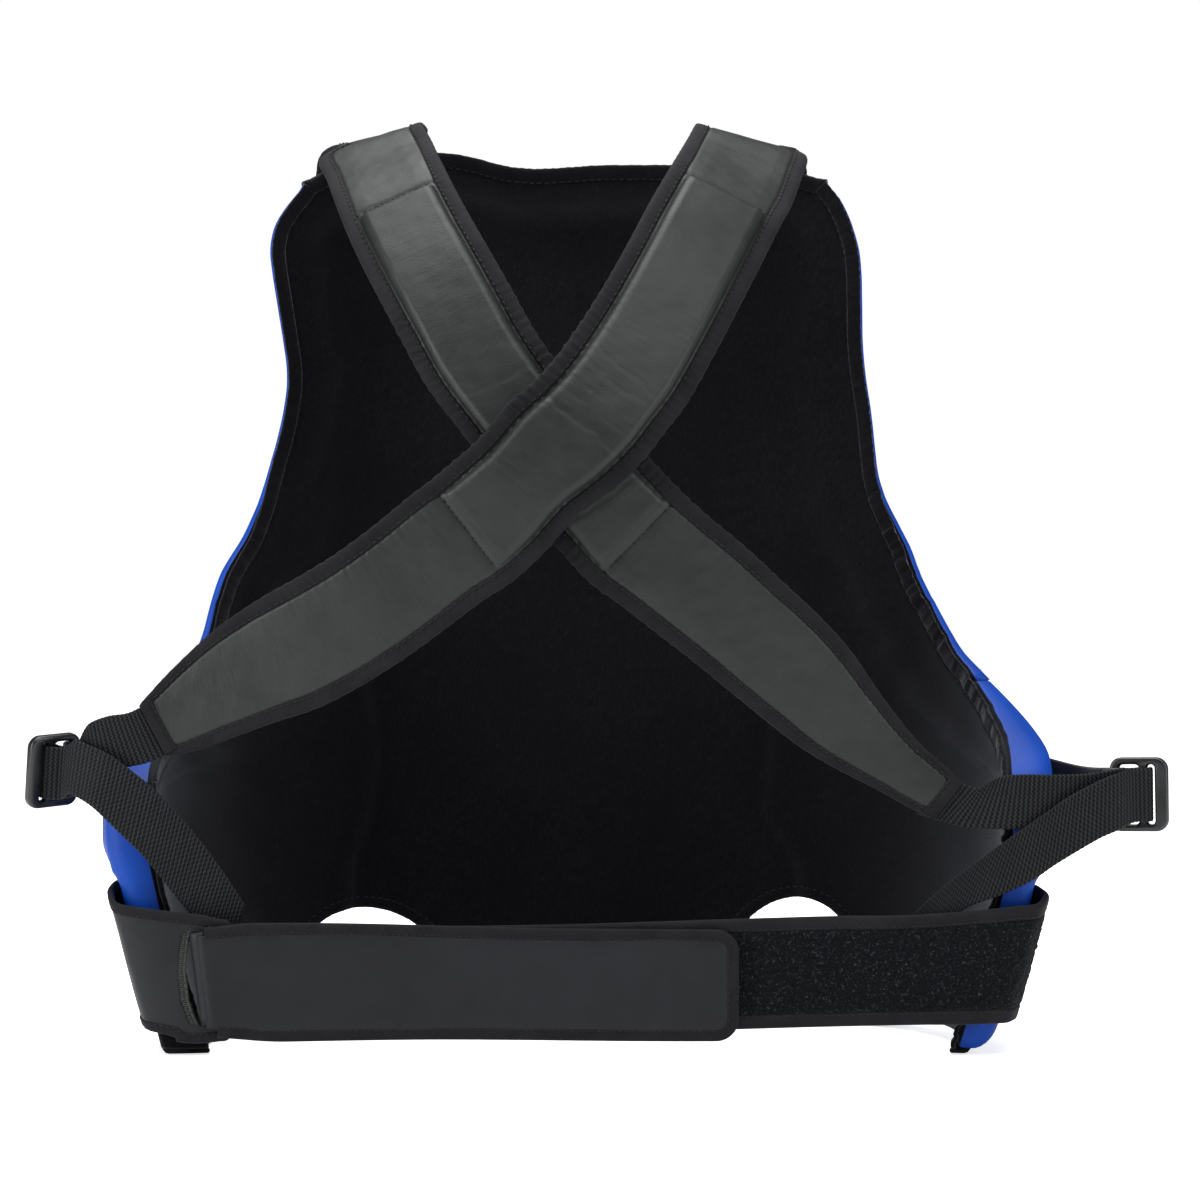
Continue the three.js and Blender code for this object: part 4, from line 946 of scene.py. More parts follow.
def wing_at(side, arch):
    zs = rows_z(arch)

    def point(u, v, r):
        z = np.interp(inset_seam(v, r, 198, False) * (len(zs) - 1), np.arange(len(zs)), zs)
        zi = np.interp(v * (len(zs) - 1), np.arange(len(zs)), zs)
        inner = np.where(side > 0, inner_left(zi), -inner_right(zi)) + ring_of(arch, zi) + 0.4
        outer = (edge_left if side > 0 else edge_right)(zi)
        return side * lerp(inner, outer, inset(u, r, outer - inner)), z

    return point, zs


def belly_at(u, v, r):
    zs = rows_z(ARCH_LEFT)
    z = np.interp(inset_seam(v, r, 198, False) * (len(zs) - 1), np.arange(len(zs)), zs)
    zi = np.interp(v * (len(zs) - 1), np.arange(len(zs)), zs)
    zr = np.where(zi < 67, zi * 73 / 67, 73 + (zi - 67) * (127 / 133))
    left = inner_left(zi) - ring_of(ARCH_LEFT, zi) - 0.4
    right = inner_right(zr) + ring_of(ARCH_RIGHT, zr) + 0.4
    s = lerp(right, left, inset(u, r, left - right))
    zz = lerp(np.interp(inset_seam(v, r, 198, False) * (len(zs) - 1), np.arange(len(zs)), np.where(zs < 67, zs * 73 / 67, 73 + (zs - 67) * (127 / 133))), z, inset(u, r, left - right))
    return s, zz


chest_pad = pad("chest_pad", chest_at, np.linspace(0, 1, 110), np.linspace(0, 1, 80), 5.0)
nrow = len(rows_z(ARCH_LEFT))
belly_pad = pad("belly_pad", belly_at, np.linspace(0, 1, 70), np.linspace(0, 1, nrow), 9.0, dark=6)
wl_point, wl_rows = wing_at(1, ARCH_LEFT)
wr_point, wr_rows = wing_at(-1, ARCH_RIGHT)
wing_pad_left = pad("wing_pad_left", wl_point, np.linspace(0, 1, 60), np.linspace(0, 1, len(wl_rows)), 8.0, dark=1)
wing_pad_right = pad("wing_pad_right", wr_point, np.linspace(0, 1, 60), np.linspace(0, 1, len(wr_rows)), 8.0, dark=1)
for o, panel in ((chest_pad, "chest"), (belly_pad, "belly"), (wing_pad_left, "wing_left"), (wing_pad_right, "wing_right")):
    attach(o, "shell")
    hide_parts(panel + "_foam", panel + "_cover")


# ------------------------------------------------------------------ shell: edges
def outline(points):
    """Arc length, points and outward normals in (s, z) of an outline on the skin."""
    p = np.array(points, float)
    t = np.gradient(p, axis=0)
    n = np.stack([t[:, 1], -t[:, 0]], -1)
    n = unit(n)
    arc = np.concatenate([[0], np.cumsum(np.linalg.norm(np.diff(p, axis=0), axis=1))])
    return arc, p, n


def resample(points, step):
    p = np.array(points, float)
    arc = np.concatenate([[0], np.cumsum(np.linalg.norm(np.diff(p, axis=0), axis=1))])
    t = np.linspace(0, arc[-1], int(arc[-1] / step) + 1)
    return np.stack([np.interp(t, arc, p[:, 0]), np.interp(t, arc, p[:, 1])], -1)


def rolled(name, points, flip, mat, wide=7.5, back=0.45, pucker=0.25, seed=1, beyond=1.2, cap=2.2, under=0, replaces=()):
    """A rolled edge: it covers the rim from a seam on the lining side round to part of the cover."""
    p = resample(points, 1.6)
    p[:, 0] = p[:, 0] * drawn_in(p[:, 1])
    arc, p, n = outline(p)
    n = n * flip
    thick = np.array([float(outside(a, b)) for a, b in p])
    base = lining_t(p[:, 0], p[:, 1])
    rings = []
    for i in range(len(p)):
        g = pucker * (0.35 * float(wave(arc[i] / 13.0, seed)) + 0.65 * float(wave(arc[i] / 4.6, seed + 1)))
        T = base[i] + (thick[i] - base[i]) * back
        T = min(T, base[i] + cap) if cap else T
        if under:
            T = lerp(thick[i] + 0.3, T, float(smooth((p[i, 1] - under) / 8)))
        r = min(beyond + 0.5, max(0.8, (T - base[i]) / 2))
        sec = [(-wide, base[i] - 0.15), (-wide + 0.8, base[i] - 0.45 - g * 0.5), (-wide * 0.5, base[i] - 0.7 - g), (-0.6, base[i] - 0.6 - g * 0.7)]
        mid, half = (base[i] - 0.6 + T) / 2, (T - base[i] + 0.6) / 2
        for a in np.linspace(-np.pi / 2, np.pi / 2, 7)[1:-1]:
            sec.append(((beyond + g) * math.cos(a) ** 0.8, mid + half * math.sin(a)))
        sec += [(-0.6, T + 0.25), (-2.5, T), (-2.5, T - 1.2), (-wide, base[i] + 1.0)]
        sec = np.array(sec)
        s = p[i, 0] + n[i, 0] * sec[:, 0]
        z = p[i, 1] + n[i, 1] * sec[:, 0]
        rings.append(shell(s, np.maximum(z, 0.3), sec[:, 1]))
    rings = np.array(rings)
    per = np.concatenate([[0], np.cumsum(np.linalg.norm(np.diff(rings[len(rings) // 2], axis=0), axis=1))])
    o = loft(name, rings, mat, arc, per)
    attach(o, "shell")
    if replaces:
        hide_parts(*replaces)
    line = p - n * (wide + 0.35)
    pts = shell(line[:, 0], line[:, 1], lining_t(line[:, 0], line[:, 1]) - 0.15)
    nn = -outward(line[:, 0], line[:, 1])
    st = stitches(name + "_stitches", pts, nn, "thread", "shell", pitch=4.4, length=3.0, radius=0.32, jitter=seed)
    return o


zs_l = np.linspace(146, SPLIT_Z, 30)
vv = np.linspace(0, 1, 120)


def side_line(sign, v):
    z0 = SPLIT_Z + v * 283
    s = sign * (edge_left if sign > 0 else edge_right)(z0)
    zt = top_of(s)
    return np.stack([s, SPLIT_Z + (zt - SPLIT_Z) * v], -1)


left_arm = np.concatenate([np.stack([edge_left(zs_l), zs_l], -1)[:-1], side_line(1, vv)])
right_arm = np.concatenate([np.stack([-edge_right(zs_l), zs_l], -1)[:-1], side_line(-1, vv)])
u_top = np.linspace(0, 1, 200)
s_top = lerp(-edge_right(483.0), edge_left(483.0), u_top)
neck = np.stack([s_top, top_of(s_top)], -1)
zr = np.linspace(3, 146, 80)
rolled("armhole_edge_left", left_arm, 1, "lining", pucker=0.3, seed=3, cap=1.6, beyond=0.8, replaces=["armhole_band_left"])
rolled("armhole_edge_right", right_arm, -1, "lining", pucker=0.8, seed=5, cap=1.6, beyond=0.8, replaces=["armhole_band_right"])
rolled("neck_edge", neck, -1, "lining", wide=6.2, back=1.0, cap=0, pucker=0.3, seed=7, beyond=2.2, replaces=["neck_band"])
rolled("rear_edge_left", np.stack([edge_left(zr), zr], -1), 1, "lining", pucker=0.4, seed=9, cap=2.2, under=17, replaces=["rear_band_left"])
rolled("rear_edge_right", np.stack([-edge_right(zr), zr], -1), -1, "lining", pucker=0.5, seed=11, cap=1.8, replaces=["rear_band_right"])


def arch_line(arch, n=90):
    th = np.linspace(0.03, np.pi - 0.03, n)
    return np.stack([arch[0] + arch[1] * np.cos(th), arch[2] * np.sin(th)], -1)


rolled("hip_edge_left", arch_line(ARCH_LEFT), -1, "lining", wide=4.5, back=0.5, cap=8, pucker=0.2, seed=13, beyond=1.6, replaces=["hip_band_left"])
rolled("hip_edge_right", arch_line(ARCH_RIGHT), -1, "lining", wide=4.5, back=0.5, cap=8, pucker=0.2, seed=15, beyond=1.6, replaces=["hip_band_right"])


def sole(name, s0, s1, node, part=1.0, up=4.6):
    """The turned-under bottom edge of a panel, which the shell stands on."""
    ss = np.linspace(s0, s1, 60)
    rings = []
    for i, s in enumerate(ss):
        T = float(outside(s, 2.4)) * part
        g = 0.35 * float(wave(i / 7.0, 17))
        sec = [(0.0, 3.2), (-0.5, 1.8), (0.2, 0.5), (1.4, 0.05), (T * 0.5, 0.0), (T - 2.2, 0.05), (T - 0.6, 0.6), (T + 0.1 + g * 0.3, 2.0), (T - 0.3, up), (T - 3, up + 1.4), (3.0, 6.0), (0.4, 4.8)]
        rings.append([shell(s, z + float(lift(s, z)), t).tolist() for t, z in sec])
    rings = np.array(rings)
    per = np.concatenate([[0], np.cumsum(np.linalg.norm(np.diff(rings[30], axis=0), axis=1))])
    o = loft(name, rings, "lining", np.abs(ss - ss[0]), per)
    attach(o, "shell")
    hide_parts(node)
    return o


sole("sole_left", 192.0, 327.5, "bottom_band_left", 1.03, 15.0)
sole("sole_right", -327.5, -184.0, "bottom_band_right", 0.5)
sole("sole_centre", -72.0, 66.0, "bottom_band_centre", 0.9)


# ------------------------------------------------------------------ shell: seams of the cover
covers = []
for o in (chest_pad, belly_pad, wing_pad_left, wing_pad_right):
    me = o.data
    covers.append(BVHTree.FromPolygons([v.co.copy() for v in me.vertices], [list(f.vertices) for f in me.polygons]))


def on_cover(s, z):
    """Points and normals on the outside of the padded panels."""
    base, nor = shell(s, z, outside(s, z)), outward(s, z)
    pts, out = [], []
    for b, n in zip(base, nor):
        b, n = Vector(row(b)), Vector(unit(n))
        best = None
        for tree in covers:
            hit = tree.ray_cast(b + n * 0.03, -n, 0.06)
            if hit[0] is not None and (best is None or hit[3] < best[3]):
                best = hit
        pts.append(np.array(b - n * 0.001 if best is None else best[0]))
        out.append(np.array(n))
    return np.array(pts), np.array(out)


def cord_along(name, pts, nor, radius, mat):
    tan = unit(np.gradient(pts, axis=0))
    side = unit(np.cross(tan, nor))
    up = np.cross(side, tan)
    th = np.linspace(0, 2 * np.pi, 9)[:-1]
    rings = pts[:, None] + (side[:, None] * np.cos(th)[None, :, None] + up[:, None] * np.sin(th)[None, :, None]) * radius
    arc = np.concatenate([[0], np.cumsum(np.linalg.norm(np.diff(pts, axis=0), axis=1))])
    verts = rings.reshape(-1, 3)
    n, k = len(rings), 8
    faces = [(i * k + j, i * k + (j + 1) % k, (i + 1) * k + (j + 1) % k, (i + 1) * k + j) for i in range(n - 1) for j in range(k)]
    faces += [tuple(range(k))[::-1], tuple((n - 1) * k + j for j in range(k))]
    me = bpy.data.meshes.new(name)
    me.from_pydata(verts.tolist(), [], faces)
    me.materials.append(MATS[mat])
    me.polygons.foreach_set("use_smooth", [True] * len(me.polygons))
    me.update()
    o = bpy.data.objects.new(name, me)
    bpy.context.scene.collection.objects.link(o)
    return o


def panel_seam(name, s, z, across):
    """Piping over the seam between two panels, with a row of stitches on each side."""
    nor = unit(outward(s, z))
    pts = (on_cover(s - 6 * across[0], z - 6 * across[1])[0] + on_cover(s + 6 * across[0], z + 6 * across[1])[0]) / 2 - nor * 0.0016
    pad_ = 9
    ker = np.ones(pad_) / pad_
    flat = np.stack([np.convolve(np.pad(pts[:, i], pad_ // 2, mode="edge"), ker, mode="valid") for i in range(3)], -1)
    piping = cord_along(name + "_piping", flat + nor * 0.0002, nor, 0.0021, "blue_leather")
    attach(piping, "shell")
    for k, d in enumerate((-5.5, 5.5)):
        ss, zz = s + d * across[0], z + d * across[1]
        q, qn = on_cover(ss, zz)
        stitches(name + "_stitches_%d" % k, unrow(q), qn, "blue_thread", "shell", pitch=4.2, length=2.9, radius=0.35, jitter=k + 41)


line_s = np.linspace(-float(edge_right(200.0)) + 9, float(edge_left(200.0)) - 9, 220)
panel_seam("chest_seam", line_s, np.full(220, SPLIT_Z + 0.1), (0, 1))
for nm, f, arch in (("left", inner_left, ARCH_LEFT), ("right", inner_right, ARCH_RIGHT)):
    zz = np.linspace(arch[2] + 12, SPLIT_Z - 7, 70)
    panel_seam("belly_seam_" + nm, np.asarray(f(zz), float) + 0 * zz, zz, (1, 0))


# ------------------------------------------------------------------ shoulder straps
def strap_rows(stations, s_in, s_out):
    rows = []
    for z in (430, 455, 474):
        rows.append([shell(s_in, z, outside(s_in, z) + 6), shell(s_out, z, outside(s_out, z) + 6)])
    for dz, t in ((-6, 18), (7, 13), (11.5, -2), (10.5, -18)):
        rows.append([shell(s_in, float(top_of(s_in)) + dz, t), shell(s_out, float(top_of(s_out)) + dz, t)])
    return [[np.asarray(a, float).tolist(), np.asarray(b, float).tolist()] for a, b in rows] + stations


def strap(name, stations, s_in, s_out, pad_at, bends, folds, seed, web_v):
    rows = strap_rows(stations, s_in, s_out)
    rib = Ribbon(rows, len(rows) - 6, (0, 1, 0))
    off, end = 7, len(rows) - 1
    p0, p1 = rib.arc(pad_at[0] + off), rib.arc(pad_at[1] + off)
    v, arc = rib.lines(0, end, 1.25)
    width = rib.width(v)
    B = STRAP_BIND
    bend = sum(bump(v - off, c, w) * k for c, w, k in bends)
    # cover: a closed section whose top swells over the foam insert
    q = np.concatenate([np.linspace(0, 0.04, 4), np.linspace(0.05, 0.16, 14), np.linspace(0.18, 0.82, 34), np.linspace(0.84, 0.95, 14), np.linspace(0.96, 1, 4)])
    U = B - 0.012 + q * (1 - 2 * B + 0.024)
    across = (q[None, :] - 0) * width[:, None] * (1 - 2 * B)
    edge_mm = np.minimum(across, width[:, None] * (1 - 2 * B) - across)
    A = arc[:, None]
    inside = smooth((A - p0) / 3.2) * smooth((p1 - A) / 3.2)
    shoulder = np.sqrt(np.clip(1 - (1 - np.clip((edge_mm - 2.3) / 5.2, 0, 1)) ** 2, 0, 1))
    rise = STRAP_FOAM + 0.35
    crown = 1 - 0.07 * ((q[None, :] - 0.5) * 2) ** 2
    h = BACKING + GAP + STRAP_COVER + 0.15 * np.ones_like(A * across)
    ends = np.sqrt(np.clip(1 - (1 - np.clip((A - p0) / 7.0, 0, 1)) ** 2, 0, 1)) * (0.45 * np.sqrt(np.clip(1 - (1 - np.clip((p1 - A) / 8.0, 0, 1)) ** 2, 0, 1)) + 0.55 * smooth((p1 - A) / 40))
    h = h + rise * shoulder * ends * crown
    # the flat part is stuffed a little, with slack towards its edges
    flat = 1 - inside
    h = h + flat * 0.9 * np.sqrt(np.clip(edge_mm / 9, 0, 1)) - 0.55 * bump(edge_mm, 0.6, 0.9)
    # stitched channel across the strap just outside the pad, and at its far end
    h = h - 1.0 * bump(A, p0 - 4.2 + 0.5 * wave(across / 30, seed), 0.75) - 0.5 * bump(A, p0 - 4.2, 3.0)
    h = h - 0.8 * bump(A, p1 + 1.6, 0.9) - 0.4 * bump(A, p1 + 1.6, 3.5)
    # transverse creases of the thin skin: sharp on the bends, faint elsewhere
    rng = np.random.default_rng(seed)
    for k in range(64):
        c = rng.uniform(p0 - 60, arc[-1] - 40)
        near = float(np.interp(c, arc, bend))
        depth = rng.uniform(0.03, 0.08) + rng.uniform(0.04, 0.16) * min(near, 1)
        tilt, reach, mid = rng.uniform(-0.16, 0.16), rng.uniform(0.14, 0.5), rng.uniform(0.15, 0.85)
        span_ = smooth((reach - np.abs(q[None, :] - mid)) / 0.18)
        line = c + tilt * (across - mid * width[:, None]) + 0.7 * wave(across / 22, seed + k)
        h = h - depth * bump(A, line, rng.uniform(0.35, 0.65)) * span_ + depth * 0.3 * bump(A, line + 1.7, 1.2) * span_
    for c, tilt, depth, w_, mid, reach in folds:
        line = float(rib.arc(c + off)) + tilt * (across - 0.5 * width[:, None]) + 1.2 * wave(across / 30, seed + 99)
        span_ = smooth((reach - np.abs(q[None, :] - mid)) / 0.25)
        h = h - 0.45 * depth * bump(A, line, 0.6 * w_) * span_ + 0.14 * depth * bump(A, line + 2.2 * w_, 1.5 * w_) * span_
    h = h + 0.22 * wave2(A / 55, across / 34, seed + 5) + 0.1 * wave2(A / 16, across / 15, seed + 6)
    # pulled-in skin beside the binding where the strap bends
    gath = (0.10 + 0.75 * np.clip(bend, 0, 1))[:, None] * np.exp(-edge_mm / 3.4)
    h = h + gath * (0.8 * wave(A / 6.3, seed + 8) + 0.5 * wave(A / 3.1, seed + 9))
    low = np.full((len(v), 4), BACKING + 0.15)
    ulow = np.array([1 - B + 0.012, 1 - B - 0.2, B + 0.2, B - 0.012])
    rings = rib.sweep(v, np.concatenate([U, ulow]), np.concatenate([h, low], 1))
    around = np.concatenate([q * 50, [51, 60, 90, 100]])
    cover = loft(name + "_cover", rings, "strap_leather", arc, around)
    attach(cover, "shell")
    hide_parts(name + "_cover", name + "_foam")
    # backing: brushed cloth on the side that faces the body
    ub = np.array([B - 0.01, 0.3, 0.5, 0.7, 1 - B + 0.01])
    sag = np.broadcast_to(0.25 * wave(arc / 60, seed + 30)[:, None] * np.array([0, 1, 1, 1, 0]), (len(v), 5))
    rb = rib.sweep(v[::2], np.concatenate([ub, ub[::-1]]), np.concatenate([0.05 - 0.1 + sag[::2] * 0.6, np.full((len(v[::2]), 5), BACKING)], 1))
    back = loft(name + "_backing", rb, "lining", arc[::2], np.arange(10) * 8.0)
    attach(back, "shell")
    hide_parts(name + "_backing")
    # bindings: folded tape with puckers, sewn through near its inner edge
    thick = BACKING + GAP + STRAP_COVER + 0.6
    for side, tag in ((0, "inner"), (1, "outer")):
        curl = np.clip(bend * (1.0 if side == 0 else 0.8), 0, 1)
        pk = (0.10 + 0.62 * curl)[:, None]
        p = wave(arc / 5.6, seed + 40 + side)[:, None] * 0.9 + wave(arc / 2.9, seed + 50 + side)[:, None] * 0.6
        sec = []
        w_mm = width * B
        n_ = 9
        prof = [(1.0, thick - 0.75), (0.985, thick - 0.1), (0.9, thick + 0.05), (0.72, thick + 0.12), (0.5, thick + 0.2), (0.3, thick + 0.12)]
        prof += [(0.16 * (1 - math.cos(a)) , thick / 2 + (thick / 2 - 0.05) * math.sin(a)) for a in (1.25, 0.7, 0.0, -0.7, -1.25)]
        prof += [(0.3, -0.15), (0.55, -0.25), (0.85, -0.2), (0.985, -0.05), (1.0, 0.5)]
        f = np.array([a for a, _ in prof])
        hh = np.array([b for _, b in prof])
        topw = np.array([0, 0.2, 0.8, 1, 1, 1, 0.9, 0.6, 0.2, 0, 0, 0.3, 0.5, 0.5, 0.2, 0])
        H = hh[None, :] + pk * p * topw[None, :] - 0.28 * bump(f[None, :], 0.87, 0.08) * topw[None, :]
        edge_wob = (0.15 + 0.55 * curl)[:, None] * wave(arc / 7.7, seed + 60 + side)[:, None] / w_mm[:, None]
        Fu = f[None, :] + (1 - f[None, :]) * edge_wob
        u = Fu * B if side == 0 else 1 - Fu * B
        rg = rib.sweep(v, u, H)
        per = np.concatenate([[0], np.cumsum(np.linalg.norm(np.diff(rg[len(rg) // 2], axis=0), axis=1))])
        o = loft(name + "_binding_" + tag, rg, "binding", arc, per)
        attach(o, "shell")
        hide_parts(name + "_binding_" + tag)
        a, b, n, _ = rib.frames(v)
        uu = 0.855 * B if side == 0 else 1 - 0.855 * B
        pts = a + (b - a) * uu + n * (thick + 0.05 + (pk[:, 0] * p[:, 0]) * 0.55)[:, None]
        stitches(name + "_stitches_" + tag, pts, n, "thread", "shell", pitch=4.3, length=3.1, radius=0.44, sink=0.1, jitter=seed + 70 + side)
        pb = a + (b - a) * uu - n * 0.3
        stitches(name + "_stitches_back_" + tag, pb, -n, "thread", "shell", pitch=4.3, length=3.0, radius=0.3, sink=0.1, jitter=seed + 80 + side)
    # end binding over the web, and cross seams with their own thread
    ve, ae = rib.index(np.array([rib.knots[-1] - 7.5, rib.knots[-1] + 0.0])), None
    us = np.linspace(0.02, 0.98, 24)
    a, b, n, tg = rib.frames(np.array([end - 1e-6]))
    rings = []
    for u in us:
        c = a[0] + (b[0] - a[0]) * u
        g = 0.25 * float(wave(u * 9, seed + 90))
        sec = [(-7.0, thick - 0.4), (-6.6, thick + 0.75), (-3.5, thick + 0.95 + g), (-0.2, thick + 0.6), (1.3, thick * 0.6), (1.3, thick * 0.3), (-0.2, -0.35), (-3.5, -0.5), (-6.6, -0.4), (-7.0, 0.4)]
        rings.append([c + tg[0] * x + n[0] * y for x, y in sec])
    rings = np.array(rings)
    eb = loft(name + "_end_binding", rings, "binding", us * 40, np.arange(10) * 2.0)
    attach(eb, "shell")
    line = np.array([a[0] + (b[0] - a[0]) * u + tg[0] * -5.9 + n[0] * (thick + 0.85) for u in np.linspace(0.1, 0.9, 20)])
    stitches(name + "_end_stitches", line, np.repeat(n, 20, 0), "thread", "shell", pitch=4.0, length=2.8, radius=0.36, jitter=seed + 91)
    for at, tag, down in ((p0 - 4.2, "seam_top", 0.9), (p1 + 1.6, "seam_end", 0.7)):
        vv_ = np.full(30, float(rib.index(at)))
        a, b, n, _ = rib.frames(vv_)
        uu = np.linspace(B + 0.04, 1 - B - 0.04, 30)[:, None]
        hh = BACKING + GAP + STRAP_COVER + 0.85 - down
        stitches(name + "_" + tag, a + (b - a) * uu + n * hh, n, "thread", "shell", pitch=3.4, length=2.6, radius=0.26, sink=0.0, jitter=seed + 92)
    return rib


rib_right = strap("strap_right", STRAP_RIGHT, -66, -128, PAD_RIGHT,
                  bends=[(7.0, 1.8, 0.45), (10.2, 2.6, 1.0), (15.5, 2.0, 0.35)],
                  folds=[(7.35, 0.12, 0.5, 1.1, 0.5, 0.6), (9.3, 0.05, 1.1, 2.2, 0.5, 0.62), (11.2, -0.06, 0.35, 1.0, 0.45, 0.45)], seed=101, web_v=0)
rib_left = strap("strap_left", STRAP_LEFT, 92, 150, PAD_LEFT,
                 bends=[(6.6, 1.3, 0.5), (10.6, 2.4, 0.95), (14.5, 2.0, 0.25)],
                 folds=[(5.2, 0.05, 0.3, 1.0, 0.4, 0.5), (7.6, 0.0, 0.5, 1.4, 0.5, 0.6), (10.9, -0.1, 0.6, 1.6, 0.5, 0.5)], seed=202, web_v=0)


# ------------------------------------------------------------------ webs, adjusters, anchor tabs
def axes(fr):
    along = unit(np.array(fr["along"], float))
    up = np.array(fr["up"], float)
    up = unit(up - along * np.dot(up, along))
    return along, up, np.cross(along, up)


def bar_at(fr, k):
    along, up, face = axes(fr)
    front = 1 if np.dot(face, (0, -1, 0)) > 0 else -1
    at = np.array(fr["at"], float)

    def q(a, f):
        c = at + along * a + face * f * front
        return [(c + up * k).tolist(), (c - up * k).tolist()]

    return q


def rounded_loop(x0, x1, y0, y1, r, n=7):
    pts = []
    for cx, cy, a0 in ((x1 - r, y0 + r, -90), (x1 - r, y1 - r, 0), (x0 + r, y1 - r, 90), (x0 + r, y0 + r, 180)):
        for a in np.linspace(a0, a0 + 90, n):
            pts.append((cx + r * math.cos(math.radians(a)), cy + r * math.sin(math.radians(a))))
    return pts


def buckle(name, fr, body):
    along, up, face = axes(fr)
    B = BUCKLE
    L, H = B["length"], B["height"]
    h = H / 2 - 3.6
    x1 = B["anchor"] / 2
    x2, x3 = x1 + B["slotB"], x1 + B["slotB"] + B["centre"]
    loops = [rounded_loop(-B["anchor"] / 2, L - B["anchor"] / 2, -H / 2, H / 2, 6.0), rounded_loop(x1, x2, -h, h, 2.6), rounded_loop(x3, x3 + B["slotA"], -h, h, 2.0)]
    cd = bpy.data.curves.new(name + "_outline", "CURVE")
    cd.dimensions, cd.fill_mode = "2D", "BOTH"
    bev = 1.5
    cd.extrude, cd.bevel_depth, cd.bevel_resolution, cd.offset = B["thick"] / 2 - bev + 0.1, bev, 4, -bev * 0.9
    for lp in loops:
        sp = cd.splines.new("POLY")
        sp.points.add(len(lp) - 1)
        for p, (x, y) in zip(sp.points, lp):
            p.co = (x, y, 0, 1)
        sp.use_cyclic_u = True
    tmp = bpy.data.objects.new(name + "_tmp", cd)
    bpy.context.scene.collection.objects.link(tmp)
    dg = bpy.context.evaluated_depsgraph_get()
    me = bpy.data.meshes.new_from_object(tmp.evaluated_get(dg))
    bpy.data.objects.remove(tmp)
    co = np.array([v.co for v in me.vertices], float)
    # the outer bar bows a little and the middle of the frame is lower than its rim
    bow = 0.9 * (1 - (co[:, 1] / (H / 2)) ** 2) * smooth((co[:, 0] - (L - B["anchor"] / 2 - 9)) / 6)
    co[:, 0] += bow
    co[:, 2] *= 1 - 0.16 * bump(co[:, 0], x2 + B["centre"] / 2, 3.5)
    p = np.array(fr["at"], float) + co[:, :1] * along + co[:, 1:2] * up + co[:, 2:] * face
    me.vertices.foreach_set("co", row(p).ravel())
    bm = bmesh.new()
    bm.from_mesh(me)
    bmesh.ops.remove_doubles(bm, verts=bm.verts, dist=2e-5)
    bmesh.ops.recalc_face_normals(bm, faces=bm.faces)
    bm.to_mesh(me)
    bm.free()
    me.materials.clear()
    me.materials.append(MATS["moulded_plastic"])
    me.polygons.foreach_set("use_smooth", [True] * len(me.polygons))
    o = bpy.data.objects.new(name + "_frame", me)
    bpy.context.scene.collection.objects.link(o)
    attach(o, body)
    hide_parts(name)
    return o


buckle("buckle_left", BUCKLE_LEFT, "adjuster_left")
buckle("buckle_right", BUCKLE_RIGHT, "adjuster_right")


def webbing(name, rows, at, v0, start, end, seed, taper=0.0):
    rib = Ribbon(rows, at, (0, 1, 0))
    v, arc = rib.lines(v0, len(rows) - 1, 0.62)
    w = rib.width(v)
    nu = 40
    q = np.linspace(0, 1, nu)
    across = q[None, :] * 30.0
    period, zig = 2.55, 2.3
    tri = np.abs(((across / zig) % 1.0) - 0.5) * 2
    phase = arc[:, None] / period + 0.42 * tri
    rib_h = 0.42 * np.cos(2 * np.pi * phase)
    cross = 0.10 * np.cos(2 * np.pi * across / (zig / 2))
    e = np.minimum(across, 30 - across)
    sel = smooth(e / 1.3)
    soft = 0.25 * wave(arc / 34, seed)[:, None] * (q[None, :] - 0.5) + 0.12 * wave(arc / 15, seed + 1)[:, None]
    top = WEB / 2 * (0.35 + 0.65 * np.sqrt(np.clip(e / 0.8, 0, 1))) + (rib_h + cross) * sel * 0.75 + soft
    bot = -WEB / 2 * (0.35 + 0.65 * np.sqrt(np.clip(e / 0.8, 0, 1))) + (rib_h - cross) * sel * 0.3 + soft
    uw = 0.12 * np.cos(2 * np.pi * arc / period)[:, None] / w[:, None]
    U = np.concatenate([q[None, :] + (q[None, :] - 0.5) * uw * 2, q[None, ::-1] + (q[None, ::-1] - 0.5) * uw * 2], 1)
    rings = rib.sweep(v, U, np.concatenate([top, bot[:, ::-1]], 1))
    o = loft(name + "_strap", rings, "webbing", arc, np.concatenate([q * 30, 32 + q * 30]))
    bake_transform(o)
    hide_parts(name)
    return o


def side_webs(side, fr, web, tail):
    q = bar_at(fr, 14.6)
    c = BUCKLE["anchor"] / 2 + BUCKLE["slotB"]
    e = c + BUCKLE["centre"]
    w0, w1 = np.array(web[0]), np.array(web[1])
    back = w0 + (w0 - w1) * (11.0 / np.linalg.norm((w0 - w1).mean(0))) - np.array([0, 1.6, 0])
    rows_in = [back.tolist()] + web + [q(c - 5.2, -6.6), q(c - 1.7, -3.4), q(c - 1.5, 0), q(c - 1.2, 3), q(c + 0.8, 4.1), q(e - 0.8, 4.1), q(e + 1.6, 3), q(e + 2.2, 0)]
    rows_out = [q(e + 2.0, -0.8), q(e + 1.6, -3.2), q(e - 1.0, -5.6), q(c, -8.0)] + tail
    m = lambda r: row((np.array(r[0]) + np.array(r[1])) / 2)
    webbing("web_" + side, rows_in, 3, 0, tuple(m(web[0])), tuple(m(web[-1])), 301)
    webbing("tail_" + side, rows_out, 6, 0, tuple(m(tail[6])), tuple(m(tail[1])), 311)


side_webs("left", BUCKLE_LEFT, WEB_LEFT, TAIL_LEFT)
side_webs("right", BUCKLE_RIGHT, WEB_RIGHT, TAIL_RIGHT)


